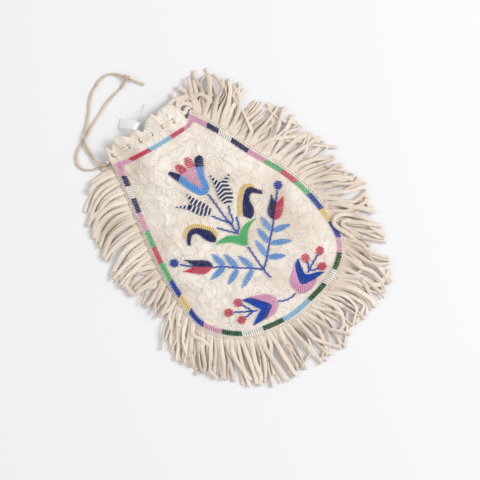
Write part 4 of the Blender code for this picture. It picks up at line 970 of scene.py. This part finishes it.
def comb_at(share):
    """The directions and the looseness of the thongs at a share of the seam."""
    for before, after in zip(COMB, COMB[1:]):
        if share <= after[0]:
            part = (share - before[0]) / (after[0] - before[0])
            return tuple(low + (high - low) * part for low, high in zip(before[1:], after[1:]))
    return COMB[-1][1:]


def within(place, outline):
    """Whether a point lies inside a closed outline in plan."""
    crossings = 0
    for first, second in zip(outline, outline[1:] + outline[:1]):
        if (first.y > place.y) != (second.y > place.y):
            part = (place.y - first.y) / (second.y - first.y)
            crossings += first.x + (second.x - first.x) * part > place.x
    return crossings % 2 == 1


def thong_path(draw, seam, share, number, outline):
    """One thong: out of the seam and down to the table, kinked and rolled as cut hide is."""
    looks = settings()
    first, last, loose = comb_at(share)
    loose *= looks.curl
    # neighbours lie together in clumps
    clump = noise.noise(Vector((share * 24.0, 0.3, 0.0))), noise.noise(Vector((share * 17.0, 7.7, 0.0)))
    first += 24.0 * loose * clump[0] + draw.gauss(0.0, 3.0 + 6.0 * loose)
    last += 40.0 * loose * clump[1] + draw.gauss(0.0, 3.0 + 9.0 * loose)
    # where the thong bends, and by how many degrees
    kinks = [
        (draw.uniform(0.2, 0.5), draw.gauss(0.0, 20.0) * loose),
        (draw.uniform(0.55, 0.85), draw.gauss(0.0, 32.0) * loose),
    ]
    roll_end = draw.gauss(0.0, 20.0 + 16.0 * loose)
    if draw.random() < 0.1 * loose:
        roll_end = 60.0
    length = looks.thong_length * draw.uniform(0.7, 1.1)
    level = number % LEVELS
    steps = round(length / THONG_STEP)
    heading = math.radians(first)
    place = seam.share(share) - Vector((math.cos(heading), math.sin(heading), 0.0)) * THONG_ROOT
    root_height = (2.0 + 0.25 * level) * MM
    centres, acrosses = [], []
    for step in range(steps + 1):
        t = step / steps
        turned = first + (last - first) * smooth_step(t / 0.9)
        turned += sum(angle * smooth_step((t - where) / 0.09 + 0.5) for where, angle in kinks)
        angle = math.radians(turned)
        ahead = Vector((math.cos(angle), math.sin(angle), 0.0))
        roll = math.radians(roll_end * smooth_step((t - 0.1) / 0.5))
        arch = level * 0.9 * MM * math.sin(math.pi * min(1.0, 1.2 * t))
        lying = (0.75 + 1.1 * level) * MM
        height = root_height + (lying - root_height) * smooth_step(t / 0.4) + arch
        height = max(height, 0.12 * MM + 0.5 * HIDE + abs(math.sin(roll)) * 0.5 * looks.thong_width)
        centres.append(Vector((place.x, place.y, height)))
        side = left_of(ahead)
        acrosses.append((side * math.cos(roll) + Vector((0.0, 0.0, math.sin(roll)))).normalized())
        place = place + ahead * THONG_STEP
        if t > 0.3 and not within(place, outline):
            break
    return centres, acrosses


def lace_heights(tree, line, along, over):
    """Height of the lace's middle over or under a hide, clear of its waves."""
    heights = []
    for step in range(-2, 3):
        distance = along + step * 0.6 * MM
        ahead = line.direction(distance, 1.0 * MM)
        side = left_of(ahead)
        for share in (-0.5, 0.0, 0.5):
            place = line.at(distance) + side * share * LACE_WIDTH
            heights.append(nearby_height(tree, place, over))
    offset = 0.15 * MM + 0.5 * LACE_THICKNESS
    return max(heights) + offset if over else min(heights) - offset


def lace_route(front, back):
    """The lace's path: through the front collar's slits and back through the back's."""
    line = Line([spot(LACE_EXIT)] + spots(SLITS) + [spot(LACE_TURN)])
    path = []
    for tree, stops, first_over in ((front, line.along, False), (back, line.along[::-1], True)):
        for index, (start, end) in enumerate(zip(stops, stops[1:])):
            over = first_over if index % 2 == 0 else not first_over
            inset = 0.5 * MM if end > start else -0.5 * MM
            count = max(3, round(abs(end - start) / (1.6 * MM)))
            for step in range(count + 1):
                along = start + inset + (end - start - 2.0 * inset) * step / count
                place = line.at(along)
                place.z = lace_heights(tree, line, along, over)
                path.append(place)
    return Line(smooth_curve(path, 2))


def twisted_sides(line, count, turns):
    """Across directions that turn about the line as a twisted thong does."""
    sides = []
    for step in range(count):
        ahead = line.direction(line.length * step / (count - 1))
        flat = left_of(ahead).normalized()
        up = ahead.cross(flat)
        angle = 2.0 * math.pi * turns * step / (count - 1)
        sides.append(flat * math.cos(angle) + up * math.sin(angle))
    return sides


# Settings, operators and the panel


class BagLooks(bpy.types.PropertyGroup):
    bead_diameter: bpy.props.FloatProperty(
        name="Bead diameter", description="Across one seed bead", default=2.0 * MM, unit="LENGTH", precision=5
    )
    bead_length: bpy.props.FloatProperty(
        name="Bead length", description="Along the thread", default=1.32 * MM, unit="LENGTH", precision=5
    )
    row_pitch: bpy.props.FloatProperty(
        name="Row pitch", description="From one bead row to the next", default=2.25 * MM, unit="LENGTH",
        precision=5,
    )
    leaf_width: bpy.props.FloatProperty(
        name="Leaf width", description="Across a leaf where it is widest", default=6.2 * MM, unit="LENGTH",
        precision=5,
    )
    thong_count: bpy.props.IntProperty(name="Thongs", description="Thongs of the fringe", default=236, min=20)
    thong_width: bpy.props.FloatProperty(
        name="Thong width", description="Across one thong at its root", default=4.5 * MM, unit="LENGTH",
        precision=5,
    )
    thong_length: bpy.props.FloatProperty(
        name="Thong length", description="From the seam to the tip", default=60.0 * MM, unit="LENGTH",
        precision=4,
    )
    curl: bpy.props.FloatProperty(name="Curl", description="How much the thongs curl", default=1.0, min=0.0)
    creases: bpy.props.FloatProperty(
        name="Creases", description="Depth of the creases in the hide", default=1.0 * MM, unit="LENGTH",
        precision=5,
    )
    camera_height: bpy.props.FloatProperty(
        name="Camera height", description="From the table to the camera", default=1.139, unit="LENGTH"
    )
    hide_colour: bpy.props.FloatVectorProperty(
        name="Hide colour", description="The clean hide of the panels", subtype="COLOR", size=4, min=0.0,
        max=1.0, default=linear("#F3EADF"),
    )
    fringe_colour: bpy.props.FloatVectorProperty(
        name="Fringe colour", description="The clean hide of the fringe", subtype="COLOR", size=4, min=0.0,
        max=1.0, default=linear("#F0E4D7"),
    )


class BeadColours(bpy.types.PropertyGroup):
    __annotations__ = {
        name: bpy.props.FloatVectorProperty(
            name=name.replace("_", " ").capitalize(), description="Colour of these seed beads",
            subtype="COLOR", size=4, min=0.0, max=1.0, default=linear(code),
        )
        for name, code in GLASS.items()
    }


class BAG_OT_front_hide(bpy.types.Operator):
    """Makes the front panel with its folds, creases and scalloped collar"""

    bl_idname = "bag.front_hide"
    bl_label = "Front hide"

    def execute(self, context):
        seam = seam_line().offset(-1.0 * MM)
        bm = hide_panel("front_panel", seam, COLLAR, 168, 200, 24, settings().creases)
        for slit in spots(SLITS):
            faces = [
                face for face in bm.faces
                if abs(face.calc_center_median().x - slit.x) < 0.5 * SLIT_WIDTH
                and abs(face.calc_center_median().y - slit.y) < 0.5 * SLIT_LENGTH
            ]
            bmesh.ops.delete(bm, geom=faces, context="FACES")
        finish_piece("hide_front", bm, [panel_hide()], ["front_panel"], thickness=HIDE)
        return {"FINISHED"}


class BAG_OT_stitches(bpy.types.Operator):
    """Sews the three layers of the edge together with sinew"""

    bl_idname = "bag.stitches"
    bl_label = "Stitches"

    def execute(self, context):
        hide = target_of(bpy.data.objects["hide_front"])
        line = seam_line().offset(-2.6 * MM)
        draw = random.Random(3)
        bm = bmesh.new()
        count = round(line.length / STITCH_PITCH)
        for number in range(count):
            along = (number + 0.5) * line.length / count
            ahead = line.direction(along)
            side = left_of(ahead)
            slant = (ahead + side * draw.uniform(-0.15, 0.15)).normalized()
            centres = []
            for step in (-1.0, -0.5, 0.0, 0.5, 1.0):
                place = line.at(along) + slant * step * 1.0 * MM
                place.z = nearby_height(hide, place, True) + (0.22 - 0.3 * step * step) * MM
                centres.append(place)
            hide_strip(bm, centres, [side] * 5, 0.55 * MM, 0.4 * MM)
        sinew = material("sinew", sinew_thread, "#BFA88A", 0.4545)
        finish_piece("seam_stitches", bm, [sinew], [])
        return {"FINISHED"}


class BAG_OT_back_hide(bpy.types.Operator):
    """Makes the back panel, which lies on the table"""

    bl_idname = "bag.back_hide"
    bl_label = "Back hide"

    def execute(self, context):
        bm = hide_panel("back_panel", seam_line(), BACK_COLLAR, 80, 100, 8, 0.0)
        finish_piece("hide_back", bm, [panel_hide()], ["back_panel"], thickness=HIDE)
        return {"FINISHED"}


class BAG_OT_fringe(bpy.types.Operator):
    """Makes the strip of hide in the seam, cut into curled thongs"""

    bl_idname = "bag.fringe"
    bl_label = "Fringe"

    def execute(self, context):
        looks = settings()
        seam = seam_line()
        draw = random.Random(11)
        bm = bmesh.new()
        band = seam.offset(-1.9 * MM)
        centres = [point + Vector((0.0, 0.0, 2.0 * MM)) for point in band.part(0.0, band.length, 260)]
        for point in centres:
            point.z += seam_rise(point)
        path = Line(centres)
        acrosses = []
        for index in range(len(centres)):
            ahead = path.direction(path.along[index])
            acrosses.append(Vector((ahead.y, -ahead.x, 0.0)).normalized())
        hide_strip(bm, centres, acrosses, STRIP_WIDTH, HIDE)
        outline = spots(TIPS)
        for number in range(looks.thong_count):
            share = (number + 0.5 + draw.uniform(-0.3, 0.3)) / looks.thong_count
            lift = seam_rise(seam.share(share))
            points, sides = thong_path(draw, seam, share, number, outline)
            points = [
                point + Vector((0.0, 0.0, lift * (1.0 - smooth_step(3.0 * step / len(points)))))
                for step, point in enumerate(points)
            ]
            width = looks.thong_width * draw.uniform(0.86, 1.12)
            hide_strip(bm, points, sides, width, HIDE, taper=draw.uniform(0.75, 1.0))
        for stray in STRAYS:
            line = Line(smooth_curve(route(stray)))
            count = 30
            points = line.part(0.0, line.length, count)
            sides = []
            for step in range(count):
                ahead = line.direction(line.length * step / (count - 1))
                sides.append(Vector((-ahead.y, ahead.x, 0.25)).normalized())
            hide_strip(bm, points, sides, looks.thong_width, HIDE, taper=0.85)
        finish_piece("cut_fringe", bm, [fringe_hide()], ["fringe"])
        return {"FINISHED"}


class BAG_OT_lane_beads(bpy.types.Operator):
    """Lays the border lane, four beads to a row"""

    bl_idname = "bag.lane_beads"
    bl_label = "Lane beads"

    def execute(self, context):
        colours = list(GLASS)
        sheet = BeadSheet(target_of(bpy.data.objects["hide_front"]), colours, 5)
        lay_lane(sheet)
        nodes = bead_nodes(True)
        finish_piece("lane_beads", sheet.bm, [glass(colour) for colour in colours], nodes)
        return {"FINISHED"}


class BAG_OT_spray_beads(bpy.types.Operator):
    """Lays the flower spray and the two hanging flowers"""

    bl_idname = "bag.spray_beads"
    bl_label = "Flower beads"

    def execute(self, context):
        colours = list(GLASS)
        sheet = BeadSheet(target_of(bpy.data.objects["hide_front"]), colours, 6)
        lay_spray(sheet)
        nodes = bead_nodes(False)
        finish_piece("flower_beads", sheet.bm, [glass(colour) for colour in colours], nodes)
        return {"FINISHED"}


class BAG_OT_lacing(bpy.types.Operator):
    """Threads the drawstring through the collars"""

    bl_idname = "bag.lacing"
    bl_label = "Lacing"

    def execute(self, context):
        line = lace_route(target_of(bpy.data.objects["hide_front"]), target_of(bpy.data.objects["hide_back"]))
        count = round(line.length / (0.9 * MM))
        centres = line.part(0.0, line.length, count)
        sides = []
        for step in range(count):
            ahead = line.direction(line.length * step / (count - 1), 1.2 * MM)
            flat = left_of(ahead)
            if flat.length < 0.2 and sides:
                flat = sides[-1]
            if sides and flat.dot(sides[-1]) < 0.0:
                flat = -flat
            sides.append(flat.normalized())
        bm = bmesh.new()
        hide_strip(bm, centres, sides, LACE_WIDTH, LACE_THICKNESS)
        finish_piece("lacing", bm, [lace_hide()], ["drawstring_lacing"])
        return {"FINISHED"}


class BAG_OT_strands(bpy.types.Operator):
    """Makes the drawstring's two free ends and its knot"""

    bl_idname = "bag.strands"
    bl_label = "Drawstring ends"

    def execute(self, context):
        made = {}
        for name, points, turns in (("strand_long", LONG_STRAND, 3.0), ("strand_short", SHORT_STRAND, 2.0)):
            line = Line(smooth_curve(route(points)))
            count = round(line.length / (1.1 * MM))
            centres = line.part(0.0, line.length, count)
            # half the strip's diagonal, so that it clears the table as it twists
            for place in centres:
                place.z = max(place.z, 0.68 * STRAND_DIAMETER)
            bm = bmesh.new()
            sides = twisted_sides(line, count, turns)
            hide_strip(bm, centres, sides, 1.3 * STRAND_DIAMETER, 0.7 * STRAND_DIAMETER)
            node = "drawstring_" + name.split("_")[1] + "_strand"
            piece = finish_piece(name, bm, [thong_hide()], [node])
            made[name] = piece, centres, line.length
        start, end = route((KNOT_START, KNOT_END))
        axis = (end - start).normalized()
        side, up = left_of(axis), Vector((0.0, 0.0, 1.0))
        radius = 0.5 * (STRAND_DIAMETER + KNOT_WIRE) + GAP
        turn_points = []
        for step in range(KNOT_STEPS * KNOT_TURNS + 1):
            angle = 2.0 * math.pi * step / KNOT_STEPS
            around = side * math.cos(angle) + up * math.sin(angle)
            turn_points.append(start.lerp(end, step / (KNOT_STEPS * KNOT_TURNS)) + around * radius)
        bm = bmesh.new()
        hide_strip(bm, turn_points, [axis] * len(turn_points), 1.05 * KNOT_WIRE, 0.85 * KNOT_WIRE)
        knot = finish_piece("knot", bm, [thong_hide()], ["drawstring_knot"])
        piece, path, length = made["strand_long"]
        piece, path, length = made["strand_short"]
        return {"FINISHED"}


class BAG_OT_tag(bpy.types.Operator):
    """Makes the blank paper tag and its thread"""

    bl_idname = "bag.tag"
    bl_label = "Tag"

    def execute(self, context):
        plain = target_of(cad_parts["paper_tag"])
        left, right = spots(TAG_LEFT), spots(TAG_RIGHT)
        bm = bmesh.new()
        bmesh.ops.create_grid(bm, x_segments=10, y_segments=20, size=0.5)
        for vertex in bm.verts:
            across, along = 0.02 + 0.96 * (vertex.co.x + 0.5), 0.01 + 0.98 * (vertex.co.y + 0.5)
            place = left[0].lerp(left[1], along).lerp(right[0].lerp(right[1], along), across)
            vertex.co = Vector((place.x, place.y, nearby_height(plain, place, True)))
        for _ in range(4):
            bmesh.ops.smooth_vert(bm, verts=bm.verts[:], factor=0.5, use_axis_z=True)
        card = material("tag_card", tag_paper)
        tag = finish_piece("tag", bm, [card], ["paper_tag"], thickness=TAG_CARD)
        thread_target = target_of(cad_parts["tag_thread"])
        points = []
        for x, y, _ in THREAD:
            place = spot((x, y))
            top = top_of(thread_target, place)
            if top is None:
                top = thread_target.find_nearest(Vector((place.x, place.y, 10.0 * MM)))[0].z
            place.z = max(top - 0.5 * THREAD_DIAMETER, 0.35 * MM)
            points.append(place)
        line = Line(smooth_curve(points))
        count = round(line.length / (0.5 * MM))
        centres = line.part(0.0, line.length, count)
        bm = bmesh.new()
        hide_strip(bm, centres, twisted_sides(line, count, 12.0), THREAD_DIAMETER, 0.85 * THREAD_DIAMETER)
        thread = finish_piece(
            "thread", bm, [material("blue_thread", sinew_thread, "#A9D3DE", 0.3333)], ["tag_thread"]
        )
        return {"FINISHED"}


class BAG_OT_cuts(bpy.types.Operator):
    """Does nothing and finishes at once"""

    bl_idname = "bag.cuts"
    bl_label = "Cut sizes"

    def execute(self, context):
        return {"FINISHED"}


class BAG_OT_stage(bpy.types.Operator):
    """Sets the pale floor, the soft light and the camera that looks straight down"""

    bl_idname = "bag.stage"
    bl_label = "Stage"

    def execute(self, context):
        bm = bmesh.new()
        bmesh.ops.create_grid(bm, x_segments=1, y_segments=1, size=FLOOR_SIZE)
        mesh = bpy.data.meshes.new("floor")
        bm.to_mesh(mesh)
        bm.free()
        floor = bpy.data.objects.new("floor", mesh)
        context.scene.collection.objects.link(floor)
        paper = bpy.data.materials.new("white_sweep")
        paper.use_nodes = True
        shader = paper.node_tree.nodes["Principled BSDF"]
        shader.inputs["Base Color"].default_value = linear("#EEEEF0")
        shader.inputs["Roughness"].default_value = 1.0
        shader.inputs["Specular IOR Level"].default_value = 0.0
        mesh.materials.append(paper)
        world = bpy.data.worlds.new("studio")
        world.use_nodes = True
        world.node_tree.nodes["Background"].inputs["Color"].default_value = (1.0, 1.0, 1.0, 1.0)
        # the camera sees a pale backdrop, and the light stays as it is
        rays = add_node(world.node_tree, "ShaderNodeLightPath")
        backdrop = add_node(
            world.node_tree, "ShaderNodeMath", {0: rays.outputs["Is Camera Ray"], 1: 0.3, 2: 0.6},
            operation="MULTIPLY_ADD",
        ).outputs[0]
        world.node_tree.links.new(backdrop, world.node_tree.nodes["Background"].inputs["Strength"])
        context.scene.world = world
        # two softboxes, each with its place, its size in metres and its watts
        for name, place, size, power in (
            ("key_softbox", (2.1, -0.9, 2.1), 1.3, 58.0),
            ("fill_softbox", (-2.0, 1.2, 2.2), 2.4, 15.0),
        ):
            data = bpy.data.lights.new(name, "AREA")
            data.size = size
            data.energy = power
            lamp = bpy.data.objects.new(name, data)
            lamp.location = place
            lamp.rotation_euler = (-Vector(place)).to_track_quat("-Z", "Y").to_euler()
            context.scene.collection.objects.link(lamp)
        data = bpy.data.cameras.new("overhead")
        data.lens = 85.0
        data.sensor_width = 36.0
        camera = bpy.data.objects.new("overhead", data)
        camera.location = (*VIEW_CENTRE, settings().camera_height)
        camera.rotation_euler = (0.0, 0.0, VIEW_TURN)
        context.scene.collection.objects.link(camera)
        context.scene.camera = camera
        context.scene.view_settings.view_transform = "Standard"
        return {"FINISHED"}


class BAG_PT_panel(bpy.types.Panel):
    """The bag's settings and its pieces"""

    bl_label = "Beaded bag"
    bl_idname = "BAG_PT_panel"
    bl_space_type = "VIEW_3D"
    bl_region_type = "UI"
    bl_category = "Bag"

    def draw(self, context):
        for group in (context.scene.bag_looks, context.scene.bead_colours):
            for name in group.__annotations__:
                self.layout.prop(group, name)
        for operator in OPERATORS:
            self.layout.operator(operator.bl_idname)


OPERATORS = (
    BAG_OT_stage, BAG_OT_front_hide, BAG_OT_back_hide, BAG_OT_stitches, BAG_OT_strands, BAG_OT_lacing,
    BAG_OT_tag, BAG_OT_fringe, BAG_OT_lane_beads, BAG_OT_spray_beads, BAG_OT_cuts,
)
CLASSES = (BagLooks, BeadColours, *OPERATORS, BAG_PT_panel)


def register():
    for each in CLASSES:
        bpy.utils.register_class(each)
    bpy.types.Scene.bag_looks = bpy.props.PointerProperty(type=BagLooks)
    bpy.types.Scene.bead_colours = bpy.props.PointerProperty(type=BeadColours)


def unregister():
    del bpy.types.Scene.bead_colours
    del bpy.types.Scene.bag_looks
    for each in reversed(CLASSES):
        bpy.utils.unregister_class(each)


def main():
    register()
    for operator in OPERATORS:
        group, name = operator.bl_idname.split(".")
        getattr(getattr(bpy.ops, group), name)()


if __name__ == "__main__":
    main()
